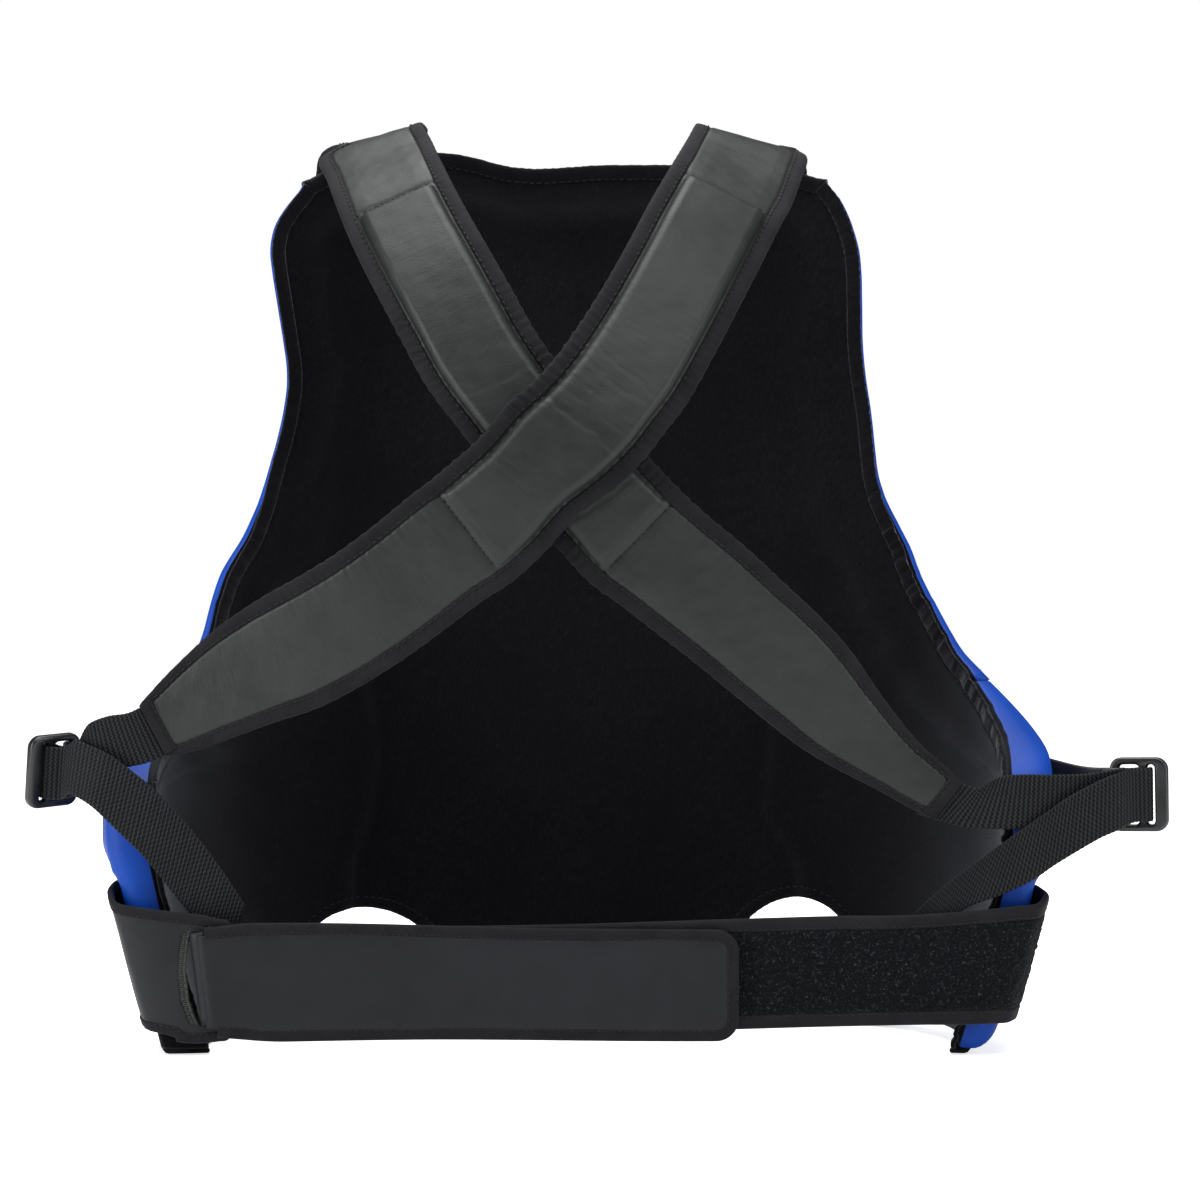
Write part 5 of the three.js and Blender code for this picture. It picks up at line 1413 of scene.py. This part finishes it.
def anchor_tab(side, sg, fr, zs):
    def out(s, z):
        return shell(sg * s, float(z), float(outside(sg * s, z)) + 2.6).tolist()

    q = bar_at(fr, 14.5)
    rows = [[out(215, zs[0]), out(215, zs[1])], [out(238, zs[0]), out(238, zs[1])], [out(258, zs[0] + 1), out(258, zs[1] + 1)],
            [out(276, zs[0] + 2), out(276, zs[1] + 2)],
            q(-9, 4.0), q(-2, 4.3), q(2.6, 4.0), q(4.5, 2.6), q(4.8, 0), q(4.3, -2.6), q(1.8, -4.0), q(-3, -3.8), q(-6.4, -2.6)]
    rib = Ribbon(rows, 0, (sg, 0, 0))
    v, arc = rib.lines(0, len(rows) - 1, 1.2)
    w = rib.width(v)
    q_ = np.concatenate([np.linspace(0, 0.2, 12), np.linspace(0.24, 0.76, 14), np.linspace(0.8, 1, 12)])
    across = q_[None, :] * w[:, None]
    e = np.minimum(across, w[:, None] - across)
    bound = 0.45 * smooth((5.2 - e) / 0.6)
    top = 0.8 * np.sqrt(np.clip(e / 0.9, 0.02, 1)) + bound - 0.35 * bump(e, 4.3, 0.5) + 0.15 * wave2(arc[:, None] / 17, across / 17, 331)
    top = top + 0.5 * bump(arc[:, None], rib.arc(3.4), 5.0) * wave(across / 19, 337)
    bot = -0.7 * np.sqrt(np.clip(e / 0.9, 0.02, 1)) - bound * 0.3
    rings = rib.sweep(v, np.concatenate([np.broadcast_to(q_, top.shape), np.broadcast_to(q_[::-1], top.shape)], 1), np.concatenate([top, bot[:, ::-1]], 1))
    o = loft("anchor_tab_" + side + "_strap", rings, "tab_leather", arc, np.concatenate([q_ * 30, 35 + q_ * 30]))
    hinge = HINGE_LEFT if side == "left" else HINGE_RIGHT
    start = tuple(row(np.mean(np.array(rows[3]), 0)))
    end = tuple(row(np.mean(np.array(rows[5]), 0)))
    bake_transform(o)
    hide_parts("anchor_tab_" + side)
    for k, u in ((0, 4.3), (1, -4.3)):
        vv_ = rib.lines(0.1, 4.0, 1.5)[0]
        a, b, n, _ = rib.frames(vv_)
        ww = rib.width(vv_)
        uu = (u / ww if u > 0 else 1 + u / ww)[:, None]
        st = stitches(f"anchor_tab_{side}_stitches_{k}", a + (b - a) * uu + n * 0.85, n, "thread", None, pitch=3.8, length=2.7, radius=0.34, jitter=340 + k)
        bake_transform(st)
    for k, vq in ((2, 1.1), (3, 2.6)):
        a, b, n, _ = rib.frames(np.full(16, vq))
        uu = np.linspace(0.18, 0.82, 16)[:, None]
        st = stitches(f"anchor_tab_{side}_stitches_{k}", a + (b - a) * uu + n * 0.9, n, "thread", None, pitch=3.4, length=2.6, radius=0.36, jitter=340 + k)
        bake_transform(st)


anchor_tab("left", 1, BUCKLE_LEFT, [146, 112])
anchor_tab("right", -1, BUCKLE_RIGHT, [156, 124])


# ------------------------------------------------------------------ waist belt
def low_z(x):
    return lerp(18.0, 12.0, smooth((x + 230) / 300))


def high_z(x):
    return lerp(76.0, 70.0, smooth((x + 200) / 260))


def around(side, off, zl, zh, arcs):
    return [[shell(side * s, float(zl), float(outside(side * s, zl)) + off).tolist(), shell(side * s, float(zh), float(outside(side * s, zh)) + off).tolist()] for s in arcs]


def corner(side):
    x = lambda v: SHELL_X + side * v
    if side < 0:
        return [[[x(231.5), 50, 19], [x(250), 50, 85]], [[x(227), 58.6, 18.5], [x(245.5), 58.6, 82]], [[x(213), 62.6, 18], [x(229), 62.8, 80]]]
    return [[[x(233), 50, 15], [x(252.5), 50, 87]], [[x(229), 60.5, 14], [x(248.5), 60.5, 83]], [[x(216), 66.6, 11], [x(232), 66.6, 80]]]


belt_rows = around(-1, 3, 20, 88, [232, 256, 282, 306]) + corner(-1) + [
    [[x, BELT_INNER_Y, float(low_z(x))], [x, BELT_INNER_Y, float(high_z(x))]] for x in np.linspace(-190, 186, 9)]
belt = Ribbon(belt_rows, 10, (0, 1, 0))
bv, barc = belt.lines(0, len(belt_rows) - 1, 1.6)
bw = belt.width(bv)


def edge_tape(name, rib, v, arc, u_in, u_out, h0, h1, mat, seed, body="shell", pk=0.12, stitch=True, overlap=0.25):
    """A folded tape round one long edge of a flat band: from u_in on the face to the edge u_out."""
    f = np.array([1.0, 0.97, 0.8, 0.55, 0.3, 0.12, 0.02, -0.03, 0.02, 0.15, 0.5, 0.97, 1.0])
    mid, half = (h0 + h1) / 2, (h1 - h0) / 2
    H = np.array([h1 - 0.5, h1 + 0.02, h1 + 0.2, h1 + 0.32, h1 + 0.25, h1 + 0.02, mid + half * 0.55, mid, mid - half * 0.55, h0 - 0.05, h0 - 0.15, h0 - 0.1, h0 + 0.3])
    topw = np.array([0, 0.3, 0.8, 1, 1, 0.8, 0.5, 0.3, 0, 0, 0, 0, 0])
    p = wave(arc / 6.8, seed)[:, None] * 0.8 + wave(arc / 3.1, seed + 1)[:, None] * 0.5
    hh = H[None, :] + pk * p * topw[None, :] - 0.25 * bump(f[None, :], 0.84, 0.07) * topw[None, :]
    u = u_out + (u_in - u_out) * f
    rings = rib.sweep(v, u, hh)
    per = np.concatenate([[0], np.cumsum(np.linalg.norm(np.diff(rings[len(rings) // 2], axis=0), axis=1))])
    o = loft(name, rings, mat, arc, per)
    if body:
        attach(o, body)
    if stitch:
        a, b, n, _ = rib.frames(v)
        us = u_out + (u_in - u_out) * 0.84
        stitches(name + "_stitches", a + (b - a) * us + n * (h1 + 0.1), n, "thread", body, pitch=3.6, length=2.6, radius=0.3, sink=0.1, jitter=seed)
    return o


# base strap of the belt
ub = np.linspace(0, 1, 26)
e_mm = np.minimum(ub, 1 - ub)[None, :] * bw[:, None]
soft = 0.25 * wave2(barc[:, None] / 70, ub[None, :], 401)
top = BELT * np.sqrt(np.clip(e_mm / 1.2, 0.05, 1)) * 0.98 + soft * 0.4
bot = (1 - np.sqrt(np.clip(e_mm / 1.2, 0.05, 1))) * 0.9 + soft * 0.4
o = loft("belt_base", belt.sweep(bv, np.concatenate([ub, ub[::-1]]), np.concatenate([top, bot[:, ::-1]], 1)), "belt_leather", barc, np.concatenate([ub * 60, 65 + ub * 60]))
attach(o, "shell")
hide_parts("belt_strap")
# loop pile: short tangled loops that stand at uneven heights
pv, parc = belt.lines(0.4, len(belt_rows) - 1.36, 0.95)
pw = belt.width(pv)
up = np.linspace(0.115, 0.885, 56)
rng = np.random.default_rng(411)
tuft = rng.normal(0, 1, (len(pv), len(up)))
tuft = (tuft + np.roll(tuft, 1, 0) * 0.6 + np.roll(tuft, 1, 1) * 0.6) / 1.4
e_p = np.minimum(up - up[0], up[-1] - up)[None, :] * pw[:, None]
top = BELT + 2 * GAP + (PILE - 0.5) * np.sqrt(np.clip(e_p / 2.0, 0.02, 1)) + 0.24 * tuft * smooth(e_p / 1.5) + 0.2 * wave2(parc[:, None] / 24, up[None, :] * 2, 413)
bot = np.full_like(top, BELT + 0.15)
o = loft("belt_pile", belt.sweep(pv, np.concatenate([up, up[::-1]]), np.concatenate([top, bot[:, ::-1]], 1)), "loop_pile", parc, np.concatenate([up * 60, 65 + up * 60]))
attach(o, "shell")
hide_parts("belt_loop_pile")
tv, tarc = belt.lines(0.02, len(belt_rows) - 1.1, 1.3)
o = edge_tape("belt_edge_lower", belt, tv, tarc, 0.118, -0.004, -0.1, BELT + GAP + 1.25, "binding", 421, pk=0.1)
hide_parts("belt_binding_lower")
o = edge_tape("belt_edge_upper", belt, tv, tarc, 0.882, 1.004, -0.1, BELT + GAP + 1.25, "binding", 423, pk=0.14)
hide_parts("belt_binding_upper")


# ---- left tab with the slot
TAB_Y = BELT_INNER_Y + BELT + GAP + 2.4
tab_rows = around(1, 3, 16, 91, [236, 258, 282, 306]) + corner(1) + [
    [[208, TAB_Y, 9], [208, TAB_Y, 78]], [[191, TAB_Y, 8.5], [191, TAB_Y, 75.5]], [[184, TAB_Y, 10], [184, TAB_Y, 73]], [[179, TAB_Y, 15], [179, TAB_Y, 68]], [[TAB_END_X, TAB_Y, 26], [TAB_END_X, TAB_Y, 58]]]
tab = Ribbon(tab_rows, 7, (0, 1, 0))
ntab = len(tab_rows) - 1
# grid lines meet the slot's edges
mid_x = lambda v: (lambda f: (f[0][:, 0] + f[1][:, 0]) / 2)(tab.frames(np.atleast_1d(v)))
cand = np.linspace(6, ntab, 2400)
mx = mid_x(cand)
v_of_x = lambda x: float(np.interp(-x, -mx, cand))
vs0, vs1 = v_of_x(SLOT_X[1]), v_of_x(SLOT_X[0])
vt = np.concatenate([tab.lines(0, vs0, 1.7)[0], tab.lines(vs0, vs1, 1.2)[0][1:], tab.lines(vs1, ntab - 0.02, 1.4)[0][1:]])
tarc2 = tab.arc(vt)
a_, b_, _, _ = tab.frames(np.array([(vs0 + vs1) / 2]))
zl, zh = a_[0, 2], b_[0, 2]
u0, u1 = (SLOT_Z[0] - zl) / (zh - zl), (SLOT_Z[1] - zl) / (zh - zl)
ut = np.concatenate([np.linspace(0.055, u0, 5), np.linspace(u0, u1, 28)[1:], np.linspace(u1, 0.945, 5)[1:]])
VT, UT = np.meshgrid(vt, ut, indexing="ij")


def slot_left(z):
    return np.interp(z, [12, 17.5, 22, 31, 47, 58, 66, 68.5, 74], [196.6, 197.4, 199.6, 202.8, 204.4, 203.6, 202.2, 201.6, 201.0])



a_, b_, n_, _ = tab.frames(vt)
# the slot gapes: its outer edge is a bowed line that closes at both ends
slot_mid = 0.5 * (1 - np.cos(2 * np.pi * np.clip((ut - u0) / (u1 - u0), 0, 1)))
arcx = tarc2[:, None]
base = a_[:, None] + (b_ - a_)[:, None] * UT[..., None]
base[..., 0] += (slot_left(base[..., 2]) - SLOT_X[1]) * np.exp(-(((arcx - tab.arc(vs0)) / 9.0) ** 2)) * smooth((base[..., 2] - 9) / 7) * smooth((79 - base[..., 2]) / 7)
lift = 1.1 * np.exp(-(((arcx - tab.arc(vs0)) / 5.0) ** 2)) * slot_mid[None, :] + 0.2 * wave2(arcx / 60, UT * 1.2, 433)
hole = np.zeros(VT.shape, bool)
iv0, iv1 = int(np.argmin(abs(vt - vs0))), int(np.argmin(abs(vt - vs1)))
iu0, iu1 = int(np.argmin(abs(ut - u0))), int(np.argmin(abs(ut - u1)))


def holed(name, base, normals, t0, t1, i0, i1, j0, j1, mats, uvu, uvv):
    """A flat band with a rectangular hole through cells i0..i1, j0..j1, as one closed solid."""
    nv, nu = base.shape[:2]
    lo = base + normals * t0[..., None]
    hi = base + normals * t1[..., None]
    verts = np.concatenate([lo.reshape(-1, 3), hi.reshape(-1, 3)])
    N = nv * nu
    faces = []
    open_ = lambda i, j: i0 <= i < i1 and j0 <= j < j1
    inside_ = lambda i, j: 0 <= i < nv - 1 and 0 <= j < nu - 1 and not open_(i, j)
    for i in range(nv - 1):
        for j in range(nu - 1):
            if open_(i, j):
                continue
            c = [i * nu + j, i * nu + j + 1, (i + 1) * nu + j + 1, (i + 1) * nu + j]
            faces.append(tuple(c[::-1]))
            faces.append(tuple(N + k for k in c))
            for (di, dj), (p, q) in {(-1, 0): (0, 1), (0, 1): (1, 2), (1, 0): (2, 3), (0, -1): (3, 0)}.items():
                if not inside_(i + di, j + dj):
                    faces.append((c[p], c[q], N + c[q], N + c[p]))
    uv = np.stack(np.broadcast_arrays(np.asarray(uvu)[None, :] / 1000, np.asarray(uvv)[:, None] / 1000), -1).reshape(-1, 2)
    o = make(name, row(verts), faces, mats, None, np.concatenate([uv, uv]))
    used = set()
    for p in o.data.polygons:
        used.update(p.vertices)
    bm = bmesh.new()
    bm.from_mesh(o.data)
    loose = [v for v in bm.verts if not v.link_faces]
    bmesh.ops.delete(bm, geom=loose, context="VERTS")
    bm.to_mesh(o.data)
    bm.free()
    return o


nrm = np.broadcast_to(n_[:, None], base.shape)
o = holed("belt_tab_panel", base, nrm, lift, lift + TAB, iv0, iv1, iu0, iu1, "belt_leather", ut * 70, tarc2)
bev_ = o.modifiers.new("soft", "BEVEL")
bev_.width, bev_.segments, bev_.limit_method, bev_.angle_limit = 0.0006, 2, "ANGLE", math.radians(50)
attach(o, "shell")
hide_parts("belt_tab")


def loop_tape(name, path, inward, h0, h1, wide, mat, seed, body, pk=0.12, y_of=None, normal=(0, 1, 0), stitch=True):
    """A folded tape along a path of points (drafting frame) with unit inward directions and a face normal."""
    p, inw = np.asarray(path, float), unit(np.asarray(inward, float))
    arc = np.concatenate([[0], np.cumsum(np.linalg.norm(np.diff(p, axis=0), axis=1))])
    nn = unit(np.broadcast_to(np.asarray(normal, float), p.shape))
    f = np.array([1.0, 0.97, 0.8, 0.55, 0.3, 0.12, 0.02, -0.03, 0.02, 0.15, 0.5, 0.97, 1.0]) * wide
    mid, half = (h0 + h1) / 2, (h1 - h0) / 2
    H = np.array([h1 - 0.5, h1 + 0.02, h1 + 0.2, h1 + 0.32, h1 + 0.25, h1 + 0.02, mid + half * 0.55, mid, mid - half * 0.55, h0 - 0.05, h0 - 0.15, h0 - 0.1, h0 + 0.3])
    topw = np.array([0, 0.3, 0.8, 1, 1, 0.8, 0.5, 0.3, 0, 0, 0, 0, 0])
    pu = wave(arc / 6.8, seed)[:, None] * 0.8 + wave(arc / 3.1, seed + 1)[:, None] * 0.5
    hh = H[None, :] + pk * pu * topw[None, :] - 0.25 * bump(f[None, :] / wide, 0.84, 0.07) * topw[None, :]
    rings = p[:, None] + inw[:, None] * f[None, :, None] + nn[:, None] * hh[..., None]
    per = np.concatenate([[0], np.cumsum(np.linalg.norm(np.diff(rings[len(rings) // 2], axis=0), axis=1))])
    o = loft(name, rings, mat, arc, per)
    if body:
        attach(o, body)
    if stitch:
        stitches(name + "_stitches", p + inw * wide * 0.84 + nn * (h1 + 0.1), nn, "thread", body, pitch=3.6, length=2.6, radius=0.3, sink=0.1, jitter=seed)
    return o


# binding that runs along the tab's lower edge, round its end and back along the top
vl = tab.lines(0.02, ntab - 2.3, 1.3)[0]
al, bl_, nl, _ = tab.frames(vl)
pl = al
pt = bl_[::-1]
end_pts = []
c0, c1 = pl[-1], pt[0]
for th in np.linspace(0, np.pi, 26)[1:-1]:
    cz = (c0[2] + c1[2]) / 2
    hz = (c1[2] - c0[2]) / 2
    # superellipse end, nearly square with rounded corners
    k = 0.5
    end_pts.append([c0[0] - (c0[0] - TAB_END_X) * abs(math.sin(th)) ** k, TAB_Y, cz - hz * math.copysign(abs(math.cos(th)) ** k, math.cos(th))])
path = np.concatenate([pl, np.array(end_pts), pt])
nn = np.concatenate([nl, np.repeat([[0, 1, 0]], len(end_pts), 0), nl[::-1]])
tg = unit(np.gradient(path, axis=0))
inw = np.cross(nn, tg)
inw = inw * np.sign(np.sum(inw[3] * (bl_[3] - al[3])))
o = loop_tape("belt_tab_edge", path, inw, -0.3, TAB + 0.2, 5.6, "binding", 441, "shell", pk=0.16, normal=nn)
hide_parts("belt_tab_binding_lower", "belt_tab_binding_upper")

# cut edge of the slot: a frayed pale core with two rows of thread
sl_z = np.linspace(SLOT_Z[0] + 0.5, SLOT_Z[1] - 0.5, 90)
g = 0.5 * (1 - np.cos(2 * np.pi * (sl_z - SLOT_Z[0]) / (SLOT_Z[1] - SLOT_Z[0])))
edge_x = slot_left(sl_z)
core = np.stack([edge_x - 0.2, TAB_Y + TAB * 0.55 + 1.1 * g, sl_z], -1)
rings = []
for i, c in enumerate(core):
    r1 = 1.0 + 0.22 * float(wave(sl_z[i] / 3.3, 451)) + 0.12 * float(wave(sl_z[i] / 1.3, 452))
    rings.append([c + np.array([r1 * 0.85 * math.cos(t), (TAB * 0.56 + 0.1) * math.sin(t) * r1, 0]) for t in np.linspace(0, 2 * np.pi, 11)[:-1]])
o = loft("slot_edge", np.array(rings), "grey_thread", sl_z, np.arange(10) * 0.8)
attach(o, "shell")
for k, dx in ((0, 2.3), (1, 3.9)):
    pts = np.stack([edge_x + dx, TAB_Y + TAB + 1.1 * g * (1 - 0.15 * dx) + 0.05, sl_z], -1)
    stitches(f"slot_stitches_{k}", pts, np.repeat([[0, 1, 0]], len(pts), 0), "grey_thread" if k == 0 else "thread", "shell", pitch=2.6, length=1.9, radius=0.3, sink=0.1, jitter=455 + k)
# overcast threads round the raw edge
rng = np.random.default_rng(459)
verts, faces, at = [], [], 0
for z in np.arange(SLOT_Z[0] + 1.5, SLOT_Z[1] - 1.5, 1.15):
    gg = 0.5 * (1 - math.cos(2 * math.pi * (z - SLOT_Z[0]) / (SLOT_Z[1] - SLOT_Z[0])))
    x0, yb = float(slot_left(z)), TAB_Y + 1.1 * gg
    pts = [(x0 + 2.2, yb + TAB + 0.15, z), (x0 + 1.0, yb + TAB + 0.35, z + 0.2), (x0 - 0.4, yb + TAB + 0.3, z + 0.45), (x0 - 1.15, yb + TAB * 0.6, z + 0.6 + rng.uniform(-0.15, 0.15)), (x0 - 0.9, yb + 0.2, z + 0.7)]
    pts = np.array(pts) + rng.uniform(-0.08, 0.08, (5, 3))
    for i in range(5):
        tg_ = unit(pts[min(4, i + 1)] - pts[max(0, i - 1)])
        s1 = unit(np.cross(tg_, [0, 0, 1.0]))
        s2 = np.cross(tg_, s1)
        for a in range(5):
            t = a * 2 * math.pi / 5
            verts.append(pts[i] + (s1 * math.cos(t) + s2 * math.sin(t)) * 0.24)
    for i in range(4):
        for a in range(5):
            b = (a + 1) % 5
            faces.append((at + i * 5 + a, at + i * 5 + b, at + (i + 1) * 5 + b, at + (i + 1) * 5 + a))
    faces.append(tuple(at + a for a in range(4, -1, -1)))
    faces.append(tuple(at + 20 + a for a in range(5)))
    at += 25
o = make("slot_overcast", row(np.array(verts)), faces, "grey_thread")
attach(o, "shell")

def sheared(p):
    """The belt runs through the slot at a slant, so its turn leans towards the bottom."""
    p = np.array(p, float)
    p[..., 0] -= 7.0 * np.clip((66 - p[..., 2]) / 54, 0, 1.1) * smooth((p[..., 0] - 140) / 52)
    return p


# ---- the fold through the slot
fold_rows = [[[x, y, 18.4], [x, y, 67.6]] for x, y in [[187, 64.2], [191, 64.2], [195.4, 64.8], [199, 66.6], [200.8, 69.2], [200.2, 72.0], [197.6, 73.9], [193.6, 74.4]]]
fold = Ribbon(fold_rows, 0, (0, -1, 0))
fv, farc = fold.lines(0, len(fold_rows) - 1, 0.7)
uf = np.linspace(0, 1, 30)
e_f = np.minimum(uf, 1 - uf) * 49.2
hf = 0.8 * np.sqrt(np.clip(e_f / 0.8, 0.03, 1))
wr = 0.18 * wave(uf * 6, 461)[None, :] * np.sin(np.pi * np.linspace(0, 1, len(fv)))[:, None]
o = loft("belt_fold_strap", sheared(fold.sweep(fv, np.concatenate([uf, uf[::-1]]), np.concatenate([hf[None, :] + wr, -hf[None, ::-1] + wr[:, ::-1]], 1))), "belt_leather", farc, np.concatenate([uf * 50, 55 + uf * 50]))
tuple(row([196.0, 66.0, 43]))
tuple(row([197.5, 73.4, 43]))
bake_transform(o)
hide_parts("belt_fold")


# ---- flap that lies back on the pile
def flap_y(x):
    return lerp(69.6, 73.2, smooth((x - 60) / 110)) + 0.35 * np.sin(np.asarray(x) / 38.0 + 0.4) * smooth((150 - np.asarray(x)) / 60)


def flap_lo(x):
    return 9.8 + smooth((x - 150) / 60) * 3 + 0.5 * np.sin(x / 41.0)


def flap_hi(x):
    return lerp(69.0, 73.0, smooth(x / 150)) - smooth((x - 165) / 30) * 2.4 + 0.4 * np.sin(x / 47.0 + 1.0)


R_END = 12.0
xs = np.arange(193, FLAP_END_X + R_END, -1.3)
lo_line = [[x, float(flap_lo(x))] for x in xs]
zl_, zh_ = float(flap_lo(FLAP_END_X + R_END)), float(flap_hi(FLAP_END_X + R_END))
for t in np.linspace(0, np.pi / 2, 14)[1:]:
    lo_line.append([FLAP_END_X + R_END - R_END * math.sin(t), zl_ + R_END * (1 - math.cos(t))])
for z in np.arange(zl_ + R_END + 1.3, zh_ - R_END, 1.3):
    lo_line.append([FLAP_END_X, z])
for t in np.linspace(0, np.pi / 2, 14):
    lo_line.append([FLAP_END_X + R_END * (1 - math.cos(t)), zh_ - R_END + R_END * math.sin(t)])
lo_line += [[x, float(flap_hi(x))] for x in xs[::-1]]
xz = np.array(lo_line)
tg2 = unit(np.gradient(xz, axis=0))
# the path runs from the slot along the lower edge to the tip and back: inward is on its right-hand side
inw2 = np.stack([tg2[:, 1], -tg2[:, 0]], -1)
if inw2[5, 1] < 0:
    inw2 = -inw2
path = sheared(np.stack([xz[:, 0], flap_y(xz[:, 0]), xz[:, 1]], -1))
inw3 = np.stack([inw2[:, 0], np.zeros(len(xz)), inw2[:, 1]], -1)
o = loop_tape("belt_flap_edge", path, inw3, -0.05, FLAP + 0.05, 6.2, "binding", 471, "belt_end", pk=0.12)
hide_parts("belt_flap_binding_lower", "belt_flap_binding_upper")
# panel inside the binding
xg = np.concatenate([193 + 6.6 * np.cos(np.linspace(0, np.pi / 2, 9))[:-1], np.arange(193, FLAP_END_X + 16, -1.6), np.linspace(FLAP_END_X + 16, FLAP_END_X + 4.2, 12)])
rows_ = []
for x in xg:
    d = x - (FLAP_END_X + 4.2)
    r_ = R_END - 4.2
    cut = r_ - math.sqrt(max(0, r_**2 - max(0, r_ - d) ** 2)) if d < r_ else 0.0
    z0_, z1_ = float(flap_lo(x)) + 4.4 + cut, float(flap_hi(x)) - 4.4 - cut
    zz = np.linspace(z0_, z1_, 40)
    e = np.minimum(zz - z0_, z1_ - zz)
    dx = max(0.0, d)
    belly = 0.55 * np.sqrt(np.clip(np.minimum(e, dx) / 7, 0, 1))
    relief = 0.16 * wave2(x / 60.0, zz / 40.0, 481) + 0.05 * wave2(x / 17.0, zz / 17.0, 482)
    topy = FLAP - 0.25 + belly + relief
    fy = float(flap_y(x))
    if x > 193:  # the turn into the slot
        c_ = math.sqrt(max(0.0, 1 - ((x - 193) / 6.7) ** 2))
        yt = 69.6 + (fy + topy - 69.6) * c_
        yb = np.minimum(fy + 0.15, yt - 0.6)
    else:
        yt, yb = fy + topy, np.full_like(topy, fy + 0.15)
    rows_.append([[x, a, z] for a, z in zip(yt, zz)] + [[x, a, z] for a, z in zip(yb[::-1], zz[::-1])])
o = loft("belt_flap_panel", sheared(rows_), "belt_leather", -xg, np.concatenate([np.linspace(0, 60, 40), np.linspace(65, 125, 40)]))
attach(o, "belt_end")
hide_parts("belt_flap")

# ---- hook patch: a tape with rows of tiny hooks
verts, faces, at = [], [], 0
z0, z1, x0, x1 = 20.0, 62.0, -74.0, 10.0
pv_ = []
for x in np.linspace(x0, x1, 60):
    pv_.append([[x, 69.35, z] for z in np.linspace(z0, z1, 24)] + [[x, 68.6, z] for z in np.linspace(z1, z0, 24)])
o = loft("hook_tape_base", np.array(pv_), "hook_tape", np.linspace(0, 84, 60), np.arange(48) * 1.8)
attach(o, "belt_end")
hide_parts("belt_hook_patch")
for x in np.arange(x0 + 1.2, x1 - 0.8, 1.7):
    for z in np.arange(z0 + 1.2, z1 - 0.8, 1.7):
        s = 0.28
        pts = [(x, 68.65, z), (x, 68.2, z + 0.05), (x, 67.9, z + 0.3), (x, 68.05, z + 0.55)]
        for px, py, pz in pts:
            verts += [(px - s, py, pz - 0.1), (px + s, py, pz - 0.1), (px + s, py + 0.02, pz + 0.14), (px - s, py + 0.02, pz + 0.14)]
        for i in range(3):
            for a in range(4):
                b = (a + 1) % 4
                faces.append((at + i * 4 + a, at + i * 4 + b, at + (i + 1) * 4 + b, at + (i + 1) * 4 + a))
        faces.append((at + 3, at + 2, at + 1, at))
        faces.append((at + 12, at + 13, at + 14, at + 15))
        at += 16
o = make("hook_tape_hooks", row(np.array(verts)), faces, "hook_tape")
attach(o, "belt_end")
